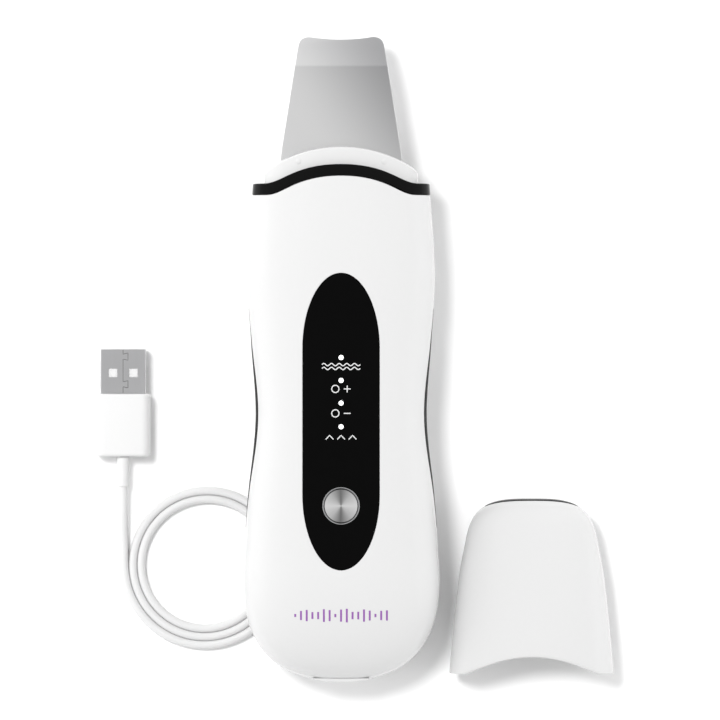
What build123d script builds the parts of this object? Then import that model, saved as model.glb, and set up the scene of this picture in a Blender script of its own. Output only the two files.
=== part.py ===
"""Ultrasonic skin scrubber with its blade cap and its USB charging lead.

Frame: +Y runs from the chin to the blade, +X to the right of the control panel,
+Z out of the panel.  The handset lies on its back, which rests on the plane Z = 0.
The origin is on that back, below the middle of the waist.
"""
from build123d import *
import math
import os

os.makedirs("parts", exist_ok=True)

# ---------------------------------------------------------------- driving dimensions (mm)
PARTING_Z = 13.5            # height of the seam between the two shells
CHIN_START_Y = -41.0        # widest place, where the chin begins to close
CHIN_LENGTH = 27.95
CHIN_FLAT_Y = -68.3         # small flat at the end, where the charging port is
SHELL_TOP_Y = 58.5          # shells end here at the sides, under the shoulder band
FRONT_WALL = 2.2
REAR_WALL = 1.8

PANEL_HALF_WIDTH = 10.05
PANEL_TOP_Y = 38.0
PANEL_BOTTOM_Y = -39.7
PANEL_END = 19.7            # length of each elliptical end
PANEL_THICKNESS = 1.2
ADHESIVE = 0.2
LAMP_YS = (15.9, 9.9, 4.0, -2.2)
LAMP_R = 0.65
BUTTON_Y = -22.9
BUTTON_R = 4.3
RING_R = 4.9
BUTTON_TRAVEL = 0.35

BAND_RISE = 5.0             # how much the shoulder band arches up in the middle
BAND_HEIGHT = 3.1
COLLAR_HALF_WIDTH = 20.2
COLLAR_FRONT = 7.9
COLLAR_REAR = 5.0
COLLAR_BOTTOM_Y = 53.0
COLLAR_SIDE_Y = 64.7
COLLAR_APEX_Y = 71.2
COLLAR_WALL = 1.8

BLADE_Z = 15.0
BLADE_THICKNESS = 0.8
BLADE_ROOT_Y = 41.0
BLADE_BEND_Y = 92.4
BLADE_TIP_Y = 100.4
BLADE_BEND_DEG = 30.0
CLAMP_REACH = 2.4           # each clamp half reaches this far from the blade's middle plane

STRIP_HALF_LENGTH = 28.8
STRIP_HALF_HEIGHT = 3.6
STRIP_THICKNESS = 1.0

BOARD_Z = 18.3
BOARD_THICKNESS = 1.2
BOARD_TOP_Z = BOARD_Z + BOARD_THICKNESS
CHARGE_BOARD_Z = 11.2

CAP_X = 50.2                # the cap lies beside the handset
CAP_Y = -67.4
CAP_HEIGHT = 46.0
CAP_FRONT = 9.5
CAP_REAR = 6.5
CAP_WALL = 1.3

CORD_D = 2.2
COIL_X = -35.8
COIL_Y = -39.2
COIL_OUTER_R = 22.6
COIL_TURNS = 3
PLUG_X = -57.6
PLUG_RELIEF_END_Y = -18.2
PLUG_Z = 3.4

# section stations along the handset: (y, half width), (y, depth in front of the seam), (y, depth behind)
WIDTHS = [(-41, 25.92), (-21, 24.5), (0, 22.45), (20, 23.65), (38, 24.68), (60, 23.3), (72, 22.4)]
FRONTS = [(-41, 12.0), (-10, 11.7), (20, 11.3), (40, 11.1), (60, 10.3), (72, 9.8)]
REARS = [(-41, 14.2), (-10, 14.1), (8, 13.4), (24, 10.8), (40, 8.4), (52, 7.4), (72, 6.9)]
HIP_SECTIONS = [-68.3, -67.6, -66.3, -64.3, -61.5, -58, -53, -47]
BODY_SECTIONS = [-41, -31, -21, -10, 0, 10, 20, 30, 40, 50, 60, 70]


# ---------------------------------------------------------------- helpers
def smooth(stations, y):
    """Value at y of a smooth curve through the stations."""
    ys = [s[0] for s in stations]
    vs = [s[1] for s in stations]
    if y <= ys[0]:
        return vs[0]
    if y >= ys[-1]:
        return vs[-1]
    i = max(k for k in range(len(ys) - 1) if ys[k] <= y)

    def slope(k):
        low = max(k - 1, 0)
        high = min(k + 1, len(ys) - 1)
        return (vs[high] - vs[low]) / (ys[high] - ys[low])

    h = ys[i + 1] - ys[i]
    t = (y - ys[i]) / h
    rise = (2 * t**3 - 3 * t**2 + 1) * vs[i] + (3 * t**2 - 2 * t**3) * vs[i + 1]
    bend = (t**3 - 2 * t**2 + t) * slope(i) + (t**3 - t**2) * slope(i + 1)
    return rise + h * bend


def curve(points, start, end):
    """Smooth curve through the points, with a given direction at its start and end."""
    return Spline(points, tangents=(start, end), tangent_scalars=(1, 1))


def arc_points(half_width, depth, n, side):
    """Points of a rounded half section, from the +X side over to the -X side."""
    points = []
    for k in range(11):
        a = math.pi * k / 10
        c = math.cos(a)
        s = math.sin(a)
        points.append((half_width * math.copysign(abs(c) ** (2 / n), c), side * depth * abs(s) ** (2 / n)))
    return points


def oval(y, half_width, front, rear, n, mid_z=PARTING_Z, mid_x=0.0):
    """Closed rounded section in the plane y, made of a left and a right half."""
    over = arc_points(half_width, front, n, 1)
    under = arc_points(half_width, rear, n, -1)
    right = under[5::-1] + over[1:6]
    left = over[5:] + under[-2:4:-1]
    halves = []
    for points, side in ((right, 1), (left, -1)):
        places = [(mid_x + x, y, mid_z + z) for x, z in points]
        halves.append(curve(places, (side, 0, 0), (-side, 0, 0)))
    return Wire(halves)


def chin(y, power):
    """1 along the body, falling to nearly 0 at the end of the chin."""
    t = max(0.0, (CHIN_START_Y - y) / CHIN_LENGTH)
    return (1 - t**power) ** (1 / power)


def half_section(y, side, inset, side_inset, skirt):
    """Closed section of one half of the handset; a skirt carries it past the seam."""
    half_width = smooth(WIDTHS, y) * chin(y, 2.5) - side_inset
    depth = smooth(FRONTS if side > 0 else REARS, y) * chin(y, 2.2) - inset
    n = 2.3 if side > 0 else 1.55 + 0.85 * min(1.0, max(0.0, (y - 8) / 44))
    places = [(x, y, PARTING_Z + z) for x, z in arc_points(half_width, depth, n, side)]
    rim = curve(places, (0, 0, side), (0, 0, -side))
    foot_z = PARTING_Z - side * skirt
    if skirt == 0:
        return Wire([rim, Line(places[-1], places[0])])
    corners = [places[-1], (-half_width, y, foot_z), (half_width, y, foot_z), places[0]]
    closing = [Line(p, q) for p, q in zip(corners, corners[1:])]
    return Wire([rim] + closing)


def half_form(side, inset=0.0, side_inset=None, skirt=0.0):
    """Front (side 1) or rear (side -1) half of the handset, or a form inset from it."""
    side_inset = inset if side_inset is None else side_inset
    end_inset = inset * 0.9
    ys = [y + end_inset * (1 - k / len(HIP_SECTIONS)) for k, y in enumerate(HIP_SECTIONS)]
    return Solid.make_loft([half_section(y, side, inset, side_inset, skirt) for y in ys + BODY_SECTIONS])


def block(x0, x1, y0, y1, z0, z1):
    return Pos((x0 + x1) / 2, (y0 + y1) / 2, (z0 + z1) / 2) * Box(x1 - x0, y1 - y0, z1 - z0)


def post(x, y, z0, z1, r):
    return Pos(x, y, (z0 + z1) / 2) * Cylinder(r, z1 - z0)


def rod_y(x, z, y0, y1, r):
    return Pos(x, (y0 + y1) / 2, z) * Rot(90, 0, 0) * Cylinder(r, y1 - y0)


def plate(edges, z0, z1):
    """Solid between two heights over a closed outline drawn in the XY plane."""
    face = make_face([edge for curve in edges for edge in curve.edges()])
    return Pos(0, 0, z0) * extrude(face, amount=z1 - z0, dir=(0, 0, 1))


def arched_edge(side_y, rise, half_span=20.5):
    """Wavy edge: level at the sides, arched up in the middle."""
    points = [(-half_span, side_y), (-0.68 * half_span, side_y + 0.45 * rise), (0, side_y + rise),
              (0.68 * half_span, side_y + 0.45 * rise), (half_span, side_y)]
    return curve(points, (1, 0), (1, 0))


def below_edge(side_y, rise):
    """Everything below an arched edge."""
    edge = arched_edge(side_y, rise)
    rim = Polyline([(20.5, side_y), (45, side_y), (45, -95), (-45, -95), (-45, side_y), (-20.5, side_y)])
    return plate([edge, rim], -5, 45)


def panel_outline(grow=0.0):
    w = PANEL_HALF_WIDTH + grow
    top = PANEL_TOP_Y + grow
    bottom = PANEL_BOTTOM_Y - grow
    top_mid = PANEL_TOP_Y - PANEL_END
    bottom_mid = PANEL_BOTTOM_Y + PANEL_END
    upper = EllipticalCenterArc((0, top_mid), w, top - top_mid, start_angle=0, arc_size=180)
    lower = EllipticalCenterArc((0, bottom_mid), w, bottom_mid - bottom, start_angle=180, arc_size=180)
    left = Line((-w, top_mid), (-w, bottom_mid))
    right = Line((w, bottom_mid), (w, top_mid))
    return plate([upper, left, lower, right], 5, 45)


def lens_bar(grow=0.0):
    """Bar along X whose section is the lens outline of a side strip."""
    half = STRIP_HALF_LENGTH + grow
    height = STRIP_HALF_HEIGHT + grow
    upper = ThreePointArc((0, -half, 0), (0, 0, height), (0, half, 0))
    lower = ThreePointArc((0, half, 0), (0, 0, -height), (0, -half, 0))
    face = make_face([*upper.edges(), *lower.edges()])
    return Pos(-40, 0, PARTING_Z) * extrude(face, amount=80, dir=(1, 0, 0))


def save(shape, node):
    export_step(shape, f"parts/{node}.step")


# ---------------------------------------------------------------- shared forms
front_outer = half_form(1)
rear_outer = half_form(-1)
front_inner = half_form(1, FRONT_WALL, REAR_WALL, 1.0)
rear_inner = half_form(-1, REAR_WALL, REAR_WALL, 1.0)
panel_bed = half_form(1, PANEL_THICKNESS, skirt=1.0)
pocket_bed = half_form(1, PANEL_THICKNESS + ADHESIVE, skirt=1.0)
body_zone = below_edge(SHELL_TOP_Y, BAND_RISE)
table_zone = block(-60, 60, -90, 120, -20, 0)


def collar_loft(grow):
    """The nose collar's oval section, run along Y."""
    return Solid.make_loft([
        oval(y, COLLAR_HALF_WIDTH + grow, COLLAR_FRONT + grow, COLLAR_REAR + grow, 2.5) for y in (40, 60, 80)
    ])


collar_form = collar_loft(0)
collar_clearance = collar_loft(0.05)


def strip_recess(side):
    bed = half_form(side, STRIP_THICKNESS + 0.1, skirt=1.0)
    return (half_form(side) - bed) & lens_bar(0.1)


CASE_SCREWS = [(x, y) for y in (44.0, -50.0) for x in (-14.5, 14.5)]
BOARD_SCREWS = [(x, y) for y in (25.0, -36.0) for x in (-11.0, 11.0)]
HEAD_FLOOR_Z = PARTING_Z - 2.6


# ---------------------------------------------------------------- handset shells
def front_shell():
    shell = (front_outer & body_zone) - front_inner
    posts = [post(x, y, PARTING_Z, 40, 2.3) for x, y in CASE_SCREWS]
    posts += [post(x, y, BOARD_TOP_Z, 40, 1.8) for x, y in BOARD_SCREWS]
    for boss in posts:
        shell += boss & panel_bed
    shell -= (front_outer - pocket_bed) & panel_outline(0.1)
    shell -= strip_recess(1)
    shell -= post(0, BUTTON_Y, 0, 40, 2.1)
    for y in LAMP_YS:
        shell -= post(0, y, 0, 40, LAMP_R + 0.05)
    for x, y in CASE_SCREWS:
        shell -= post(x, y, PARTING_Z - 1, PARTING_Z + 4.6, 0.95)
    for x, y in BOARD_SCREWS:
        shell -= post(x, y, BOARD_TOP_Z - 1, BOARD_TOP_Z + 1.6, 0.7)
    return shell


def port_opening():
    return block(-4.1, 4.1, CHIN_FLAT_Y - 3, CHIN_FLAT_Y + 7, 12.0, 15.0)


def rear_shell():
    shell = (rear_outer & body_zone) - rear_inner - table_zone
    for x, y in CASE_SCREWS:
        shell += post(x, y, 1, PARTING_Z, 3.1) & rear_outer
    shell -= strip_recess(-1)
    for x, y in CASE_SCREWS:
        shell -= post(x, y, -5, HEAD_FLOOR_Z, 2.1)
        shell -= post(x, y, -5, PARTING_Z + 1, 1.1)
    return shell


def shoulder_band():
    lower = below_edge(SHELL_TOP_Y, BAND_RISE)
    upper = below_edge(SHELL_TOP_Y + BAND_HEIGHT, BAND_RISE)
    halves = [(form & upper) - lower - collar_clearance for form in (front_outer, rear_outer)]
    return halves[0] + halves[1]


def collar_zone():
    top = ThreePointArc((-COLLAR_HALF_WIDTH - 1, COLLAR_SIDE_Y - 0.6), (0, COLLAR_APEX_Y),
                        (COLLAR_HALF_WIDTH + 1, COLLAR_SIDE_Y - 0.6))
    w = COLLAR_HALF_WIDTH + 1
    rim = Polyline([(w, COLLAR_SIDE_Y - 0.6), (w, COLLAR_BOTTOM_Y), (-w, COLLAR_BOTTOM_Y), (-w, COLLAR_SIDE_Y - 0.6)])
    return plate([top, rim], -5, 45)


def nose_collar():
    solid = collar_form & collar_zone()
    hollow = Solid.make_loft([
        oval(y, COLLAR_HALF_WIDTH - COLLAR_WALL, COLLAR_FRONT - COLLAR_WALL, COLLAR_REAR - COLLAR_WALL, 2.5)
        for y in (COLLAR_BOTTOM_Y - 1, COLLAR_SIDE_Y - 1.2)
    ])
    rims = [e for e in solid.edges() if e.center().Y > COLLAR_SIDE_Y - 1.5]
    try:
        solid = fillet(rims, 1.0)
    except Exception:
        print("collar rim left sharp")
    collar = solid - hollow
    slot = block(-17.2, 17.2, COLLAR_SIDE_Y - 3, 90, BLADE_Z - 1.1, BLADE_Z + 1.1)
    collar -= slot
    for x in (-10.9, 10.9):
        z = PARTING_Z + COLLAR_FRONT * (1 - (10.9 / COLLAR_HALF_WIDTH) ** 2.5) ** (1 / 2.5)
        collar += Pos(x, 67.2, z - 0.35) * Sphere(0.6)
    return collar


# ---------------------------------------------------------------- blade and its drive
def blade_zone():
    half_root = 8.0
    right = [
        (half_root, BLADE_ROOT_Y), (half_root, 60.0), (16.0, 68.0), (15.5, 71.6), (11.5, 96.8),
    ]
    left = [(-x, y) for x, y in reversed(right)]
    flank_right = Polyline(right)
    corner_right = curve([(11.5, 96.8), (10.6, 99.6), (8.4, BLADE_TIP_Y)], (-4, 25.2), (-1, 0))
    tip = ThreePointArc((8.4, BLADE_TIP_Y), (0, BLADE_TIP_Y - 0.7), (-8.4, BLADE_TIP_Y))
    corner_left = curve([(-8.4, BLADE_TIP_Y), (-10.6, 99.6), (-11.5, 96.8)], (-1, 0), (-4, -25.2))
    flank_left = Polyline(left)
    foot = Line((-half_root, BLADE_ROOT_Y), (half_root, BLADE_ROOT_Y))
    return plate([flank_right, corner_right, tip, corner_left, flank_left, foot], 0, 30)


def spatula_blade():
    t = BLADE_THICKNESS / 2
    a = math.radians(BLADE_BEND_DEG)
    reach = 12.0
    top = [(0, BLADE_ROOT_Y - 2, BLADE_Z + t), (0, BLADE_BEND_Y + t * math.tan(a / 2), BLADE_Z + t)]
    low = [(0, BLADE_BEND_Y - t * math.tan(a / 2), BLADE_Z - t), (0, BLADE_ROOT_Y - 2, BLADE_Z - t)]
    tip = (reach * math.cos(a), -reach * math.sin(a))
    top.append((0, top[1][1] + tip[0], top[1][2] + tip[1]))
    low.insert(0, (0, low[0][1] + tip[0], low[0][2] + tip[1]))
    profile = make_face(Polyline(top + low, close=True))
    bar = extrude(profile, amount=20, both=True, dir=(1, 0, 0))
    blade = bar & blade_zone()
    bends = [e for e in blade.edges() if abs(e.center().Y - BLADE_BEND_Y) < 0.6 and e.length > 20]
    try:
        blade = fillet(bends, 1.2)
    except Exception:
        print("blade bend left sharp")
    return blade


def blade_gasket():
    frame = block(-17.1, 17.1, 62.6, 65.6, BLADE_Z - 1.05, BLADE_Z + 1.05)
    wings = block(-15.5, 15.5, 60.4, 62.4, BLADE_Z - 2.2, BLADE_Z + 2.2)
    slit = block(-14.2, 14.2, 60, 66, BLADE_Z - BLADE_THICKNESS / 2 - 0.02, BLADE_Z + BLADE_THICKNESS / 2 + 0.02)
    lower = block(-15.5, 15.5, 62.4, 62.6, BLADE_Z - 1.05, BLADE_Z + 1.05)
    return (frame + lower + wings) - slit


def blade_clamp():
    halves = []
    for side in (-1, 1):
        z0 = BLADE_Z + side * (BLADE_THICKNESS / 2 + 0.02)
        z1 = BLADE_Z + side * CLAMP_REACH
        half = block(-12.0, 12.0, 54.2, 59.9, min(z0, z1), max(z0, z1))
        for x in (-10.2, 10.2):
            half -= post(x, 57.0, 0, 40, 0.85)
        halves.append(half)
    return Compound(halves)


def clamp_screws():
    screws = []
    for x in (-10.2, 10.2):
        shank = post(x, 57.0, BLADE_Z - CLAMP_REACH + 0.1, BLADE_Z + CLAMP_REACH + 0.02, 0.8)
        head = post(x, 57.0, BLADE_Z + CLAMP_REACH + 0.02, BLADE_Z + CLAMP_REACH + 0.9, 1.6)
        slot = block(x - 1.3, x + 1.3, 56.75, 57.25, BLADE_Z + CLAMP_REACH + 0.5, BLADE_Z + 5)
        screws.append((shank + head) - slot)
    return Compound(screws)


def piezo_discs():
    face = BLADE_THICKNESS / 2 + 0.02
    upper = post(0, 47.6, BLADE_Z + face, BLADE_Z + face + 2.0, 6.2)
    lower = post(0, 47.6, BLADE_Z - face - 2.0, BLADE_Z - face, 6.2)
    return Compound([upper, lower])


# ---------------------------------------------------------------- control panel
def control_panel():
    panel = (front_outer & panel_outline()) - panel_bed
    panel -= post(0, BUTTON_Y, 0, 40, RING_R + 0.05)
    for y in LAMP_YS:
        panel -= post(0, y, 0, 40, LAMP_R + 0.03)
    return panel


def panel_adhesive():
    film = (panel_bed & panel_outline(-0.6)) - pocket_bed
    film -= post(0, BUTTON_Y, 0, 40, RING_R + 0.6)
    film -= block(-1.6, 1.6, LAMP_YS[-1] - 2, LAMP_YS[0] + 2, 0, 40)
    return film


def top_z(y):
    return PARTING_Z + smooth(FRONTS, y)


def light_guides():
    guides = []
    for y in LAMP_YS:
        guide = post(0, y, BOARD_TOP_Z + 0.75, top_z(y) + 2, LAMP_R)
        guides.append((guide & front_outer).solid())
    return Compound(guides)


def status_leds():
    return Compound([block(-0.8, 0.8, y - 0.4, y + 0.4, BOARD_TOP_Z, BOARD_TOP_Z + 0.7) for y in LAMP_YS])


def light_shield():
    low = LAMP_YS[-1] - 3
    high = LAMP_YS[0] + 3
    shield = block(-3, 3, low, high, BOARD_TOP_Z, BOARD_TOP_Z + 2.6)
    for y in LAMP_YS:
        shield -= block(-1.1, 1.1, y - 0.9, y + 0.9, 0, 40)
    return shield


BUTTON_TOP_Z = top_z(BUTTON_Y) + 0.35
RING_FOOT_Z = top_z(BUTTON_Y) - PANEL_THICKNESS - ADHESIVE + 0.02
PLUNGER_TOP_Z = RING_FOOT_Z - 0.75


def button_ring():
    ring = post(0, BUTTON_Y, RING_FOOT_Z, BUTTON_TOP_Z - 0.1, RING_R)
    ring -= post(0, BUTTON_Y, 0, 40, BUTTON_R + 0.05)
    rims = ring.edges().filter_by(GeomType.CIRCLE).group_by(Axis.Z)[-1]
    return chamfer(rims, 0.15)


def button_cap():
    disc = post(0, BUTTON_Y, RING_FOOT_Z + 0.5, BUTTON_TOP_Z, BUTTON_R)
    rim = disc.edges().filter_by(GeomType.CIRCLE).group_by(Axis.Z)[-1]
    disc = fillet(rim, 0.3)
    dish = Pos(0, BUTTON_Y, BUTTON_TOP_Z + 39.85) * Sphere(40)
    stem = post(0, BUTTON_Y, PLUNGER_TOP_Z, RING_FOOT_Z + 0.5, 2.0)
    return (disc - dish) + stem


SWITCH_TOP_Z = PLUNGER_TOP_Z - 0.7


def switch_body():
    body = block(-3, 3, BUTTON_Y - 3, BUTTON_Y + 3, BOARD_TOP_Z, SWITCH_TOP_Z)
    body -= post(0, BUTTON_Y, BOARD_TOP_Z + 0.4, 40, 1.55)
    return body


def switch_plunger():
    return post(0, BUTTON_Y, BOARD_TOP_Z + 0.4 + BUTTON_TRAVEL + 0.1, PLUNGER_TOP_Z, 1.5)


# ---------------------------------------------------------------- electronics
def rounded_board(x, y0, y1, z, thickness):
    board = block(-x, x, y0, y1, z, z + thickness)
    return fillet(board.edges().filter_by(Axis.Z), 2.0)


def main_board():
    board = rounded_board(13.2, -41.0, 31.0, BOARD_Z, BOARD_THICKNESS)
    for x, y in BOARD_SCREWS:
        board -= post(x, y, 0, 40, 0.95)
    return board


def charge_board():
    return rounded_board(8.5, -65.4, -52.0, CHARGE_BOARD_Z, 0.9)


def board_screws():
    screws = []
    for x, y in BOARD_SCREWS:
        shank = post(x, y, BOARD_Z, BOARD_TOP_Z + 1.4, 0.68)
        head = post(x, y, BOARD_Z - 0.9, BOARD_Z, 1.5)
        screws.append(shank + head)
    return Compound(screws)


def case_screws():
    screws = []
    for x, y in CASE_SCREWS:
        shank = post(x, y, HEAD_FLOOR_Z, PARTING_Z + 4.4, 0.93)
        head = post(x, y, HEAD_FLOOR_Z - 1.5, HEAD_FLOOR_Z, 1.8)
        slot_a = block(x - 1.2, x + 1.2, y - 0.25, y + 0.25, HEAD_FLOOR_Z - 2, HEAD_FLOOR_Z - 0.7)
        slot_b = block(x - 0.25, x + 0.25, y - 1.2, y + 1.2, HEAD_FLOOR_Z - 2, HEAD_FLOOR_Z - 0.7)
        screws.append((shank + head) - slot_a - slot_b)
    return Compound(screws)


def chip(x, y, z, width, length, height):
    return block(x - width / 2, x + width / 2, y - length / 2, y + length / 2, z - height, z)


def battery_cell():
    cell = block(-11.5, 11.5, -44, 3, 5.9, 12.4)
    cell = fillet(cell.edges().filter_by(Axis.Y), 2.4)
    tab = block(-6, 6, 3, 5.2, 8.4, 9.8)
    return cell + tab


def battery_foam():
    return Compound([block(-9, 9, y - 4, y + 4, 12.45, 14.0) for y in (-34, -8)])


def capacitors():
    cans = []
    for x in (-8.5, 8.5):
        for y in (-12.0, -4.0):
            cans.append(post(x, y, BOARD_Z - 3.4, BOARD_Z - 0.01, 2.0))
    return Compound(cans)


def transformer():
    base = block(-5.5, 5.5, 10, 21, BOARD_Z - 1.2, BOARD_Z - 0.01)
    waist = post(0, 15.5, BOARD_Z - 4.4, BOARD_Z - 1.2, 3.2)
    crown = block(-5.5, 5.5, 10, 21, BOARD_Z - 5.6, BOARD_Z - 4.4)
    return base + waist + crown


def transformer_coil():
    winding = post(0, 15.5, BOARD_Z - 4.3, BOARD_Z - 1.3, 5.2)
    return winding - post(0, 15.5, 0, 40, 3.25)


def usb_socket():
    floor = CHARGE_BOARD_Z + 0.9
    socket = block(-3.75, 3.75, CHIN_FLAT_Y + 0.4, CHIN_FLAT_Y + 5.8, floor, floor + 2.6)
    mouth = block(-3.45, 3.45, CHIN_FLAT_Y - 1, CHIN_FLAT_Y + 5.2, floor + 0.35, floor + 2.25)
    tongue = block(-1.9, 1.9, CHIN_FLAT_Y + 1.2, CHIN_FLAT_Y + 5.4, floor + 0.95, floor + 1.45)
    return (socket - mouth) + tongue


def wires(routes, diameter):
    """Short insulated wires, each along its own bent route."""
    strands = []
    for points, radius in routes:
        path = FilletPolyline(*points, radius=radius)
        profile = Plane(origin=path @ 0, z_dir=path % 0) * Circle(diameter / 2)
        strands.append(sweep(profile, path=path).solid())
    return Compound(strands)


def drive_wires():
    routes = []
    for side in (-1, 1):
        routes.append((
            [(side * 3.4, 31.2, BOARD_Z + 0.6), (side * 3.4, 34.5, BOARD_Z + 0.6),
             (side * 3.4, 37.5, BLADE_Z + side * 1.5), (side * 3.4, 41.2, BLADE_Z + side * 1.5)],
            1.0,
        ))
    return wires(routes, 0.9)


def battery_wires():
    routes = []
    for side in (-1, 1):
        routes.append((
            [(side * 3.0, 5.4, 9.1), (side * 3.0, 8.4, 9.1), (side * 7.6, 12.0, 12.2), (side * 7.6, 14.5, 17.4)],
            1.0,
        ))
    return wires(routes, 0.9)


# ---------------------------------------------------------------- side electrodes
def side_strip(side):
    reach = block(min(0, side * 40), max(0, side * 40), -40, 40, 0, 30)
    halves = []
    for face in (1, -1):
        skin = half_form(face) & (lens_bar() & reach)
        halves.append(skin - half_form(face, STRIP_THICKNESS, skirt=1.0))
    return halves[0] + halves[1]


# ---------------------------------------------------------------- charging port cover
PORT_HINGE_Y = CHIN_FLAT_Y - 0.45
PORT_HINGE_Z = 11.3


def port_cover():
    """Silicone cover that carries on the chin's curve and turns about the round bead at its foot."""
    back_y = CHIN_FLAT_Y - 0.06
    back = Line((-7.4, back_y), (7.4, back_y))
    right = Line((7.4, back_y), (7.4, back_y - 0.3))
    crown = ThreePointArc((7.4, back_y - 0.3), (0, back_y - 0.9), (-7.4, back_y - 0.3))
    left = Line((-7.4, back_y - 0.3), (-7.4, back_y))
    pad = plate([back, right, crown, left], PORT_HINGE_Z, 16.2)
    bead = Pos(0, PORT_HINGE_Y, PORT_HINGE_Z) * Rot(0, 90, 0) * Cylinder(0.35, 6.4)
    lug = block(-3.0, 3.0, back_y, CHIN_FLAT_Y + 0.6, 12.9, 14.1)
    return pad + bead + lug


# ---------------------------------------------------------------- cap
CAP_WIDTHS = [(0, 21.66), (6, 21.2), (18, 19.98), (31, 18.3), (37.4, 17.0), (46, 15.0)]


def cap_form(inset):
    sections = []
    for s in (-2, 6, 14, 22, 30, 38, 48):
        front = CAP_FRONT - 3.4 * (max(s, 0) / CAP_HEIGHT) ** 1.6
        sections.append(oval(CAP_Y + s, smooth(CAP_WIDTHS, s) - inset, front - inset, CAP_REAR - inset,
                             2.5, CAP_REAR, CAP_X))
    return Solid.make_loft(sections)


def cap_zone(inset):
    """Front view of the cap: arched mouth, straight flanks, rounded shoulders, arched top."""
    top_y = CAP_Y + CAP_HEIGHT - inset
    shoulder_x = 12.9 - inset * 0.5
    shoulder_y = CAP_Y + 43.7 - inset
    side_x = 17.4 - inset
    side_y = CAP_Y + 36.0
    mouth_y = CAP_Y if inset == 0 else CAP_Y - 12
    wide = 26.0
    crown = ThreePointArc((CAP_X - shoulder_x, shoulder_y), (CAP_X, top_y), (CAP_X + shoulder_x, shoulder_y))
    right = curve([(CAP_X + shoulder_x, shoulder_y), (CAP_X + side_x, side_y)], (1, -0.45), (0.12, -1))
    left = curve([(CAP_X - side_x, side_y), (CAP_X - shoulder_x, shoulder_y)], (0.12, 1), (1, 0.45))
    skirt_right = Polyline([(CAP_X + side_x, side_y), (CAP_X + wide, side_y - 20), (CAP_X + wide, mouth_y)])
    skirt_left = Polyline([(CAP_X - wide, mouth_y), (CAP_X - wide, side_y - 20), (CAP_X - side_x, side_y)])
    mouth_right = Line((CAP_X + wide, mouth_y), (CAP_X + 17.9, mouth_y))
    arch = [(CAP_X + 17.9, mouth_y), (CAP_X + 10, mouth_y + 3.3), (CAP_X, mouth_y + 4.6),
            (CAP_X - 10, mouth_y + 3.3), (CAP_X - 17.9, mouth_y)]
    mouth = curve(arch, (-1, 0.1), (-1, -0.1))
    mouth_left = Line((CAP_X - 17.9, mouth_y), (CAP_X - wide, mouth_y))
    return plate([crown, right, skirt_right, mouth_right, mouth, mouth_left, skirt_left, left], -5, 30)


def cap_body():
    solid = cap_form(0) & cap_zone(0)
    rims = [e for e in solid.edges() if e.center().Y > CAP_Y + 39 and e.length > 8]
    try:
        solid = fillet(rims, 1.6)
    except Exception:
        print("cap top left sharp")
    hollow = cap_form(CAP_WALL) & cap_zone(CAP_WALL)
    return solid - hollow


STRIP_MID_Z = 6.6


def cap_strip_tool(grow, depth):
    """Slab that follows the cap's arched top, as long and as thick as the dark strip."""
    outer_y = CAP_Y + CAP_HEIGHT + 0.3
    inner_y = CAP_Y + CAP_HEIGHT - depth
    drop = 2.2
    w = 12.4 + grow
    top = ThreePointArc((CAP_X - w, outer_y - drop), (CAP_X, outer_y), (CAP_X + w, outer_y - drop))
    low = ThreePointArc((CAP_X + w, inner_y - drop), (CAP_X, inner_y), (CAP_X - w, inner_y - drop))
    right = Line((CAP_X + w, outer_y - drop), (CAP_X + w, inner_y - drop))
    left = Line((CAP_X - w, inner_y - drop), (CAP_X - w, outer_y - drop))
    return plate([top, right, low, left], STRIP_MID_Z - 3.0 - grow, STRIP_MID_Z + 3.0 + grow)


# ---------------------------------------------------------------- charging lead
def cord_coil():
    """Three flat turns, as one ring; the lead comes in along a notch at its left."""
    ring = post(COIL_X, COIL_Y, 0, CORD_D, COIL_OUTER_R)
    ring -= post(COIL_X, COIL_Y, -1, 10, COIL_OUTER_R - COIL_TURNS * CORD_D)
    notch_x = COIL_X - COIL_OUTER_R + CORD_D + 0.02
    ring -= block(-70, notch_x, COIL_Y, 0, -1, 10)
    tail_x = COIL_X + COIL_OUTER_R - (COIL_TURNS - 0.5) * CORD_D
    ring -= block(tail_x - CORD_D - 0.6, tail_x + 0.05, COIL_Y, COIL_Y + 8.5, -1, 10)
    return ring


LEAD_ROUTE = [
    (PLUG_X, PLUG_RELIEF_END_Y, PLUG_Z),
    (PLUG_X, -25.4, PLUG_Z - 0.1),
    (-57.45, -31.6, 1.35),
    (COIL_X - COIL_OUTER_R + CORD_D / 2, COIL_Y, CORD_D / 2),
]
TAIL_X = COIL_X + COIL_OUTER_R - (COIL_TURNS - 0.5) * CORD_D - CORD_D / 2
MICRO_X = -9.0
MICRO_END_Y = 43.0
MICRO_Z = 2.8
TAIL_ROUTE = [
    (TAIL_X, COIL_Y, CORD_D / 2),
    (TAIL_X - 0.2, -35.0, 1.5),
    (TAIL_X - 0.7, -30.0, 4.5),
    (TAIL_X - 1.0, -22.0, 4.5),
    (TAIL_X - 0.7, -14.0, 1.4),
    (-18.2, -3.0, 1.1),
    (-16.6, 9.0, 1.1),
    (-14.2, 20.0, 1.12),
    (-10.4, 29.5, 1.3),
    (-9.1, 36.8, MICRO_Z - 0.2),
    (MICRO_X, MICRO_END_Y, MICRO_Z),
]


def route_radii(points):
    """As large a bend at each corner as its two runs leave room for."""
    radii = []
    for a, b, c in zip(points, points[1:], points[2:]):
        before = Vector(b) - Vector(a)
        after = Vector(c) - Vector(b)
        turn = math.radians(before.get_angle(after))
        radii.append(0.45 * min(before.length, after.length) / math.tan(turn / 2))
    return radii


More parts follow.
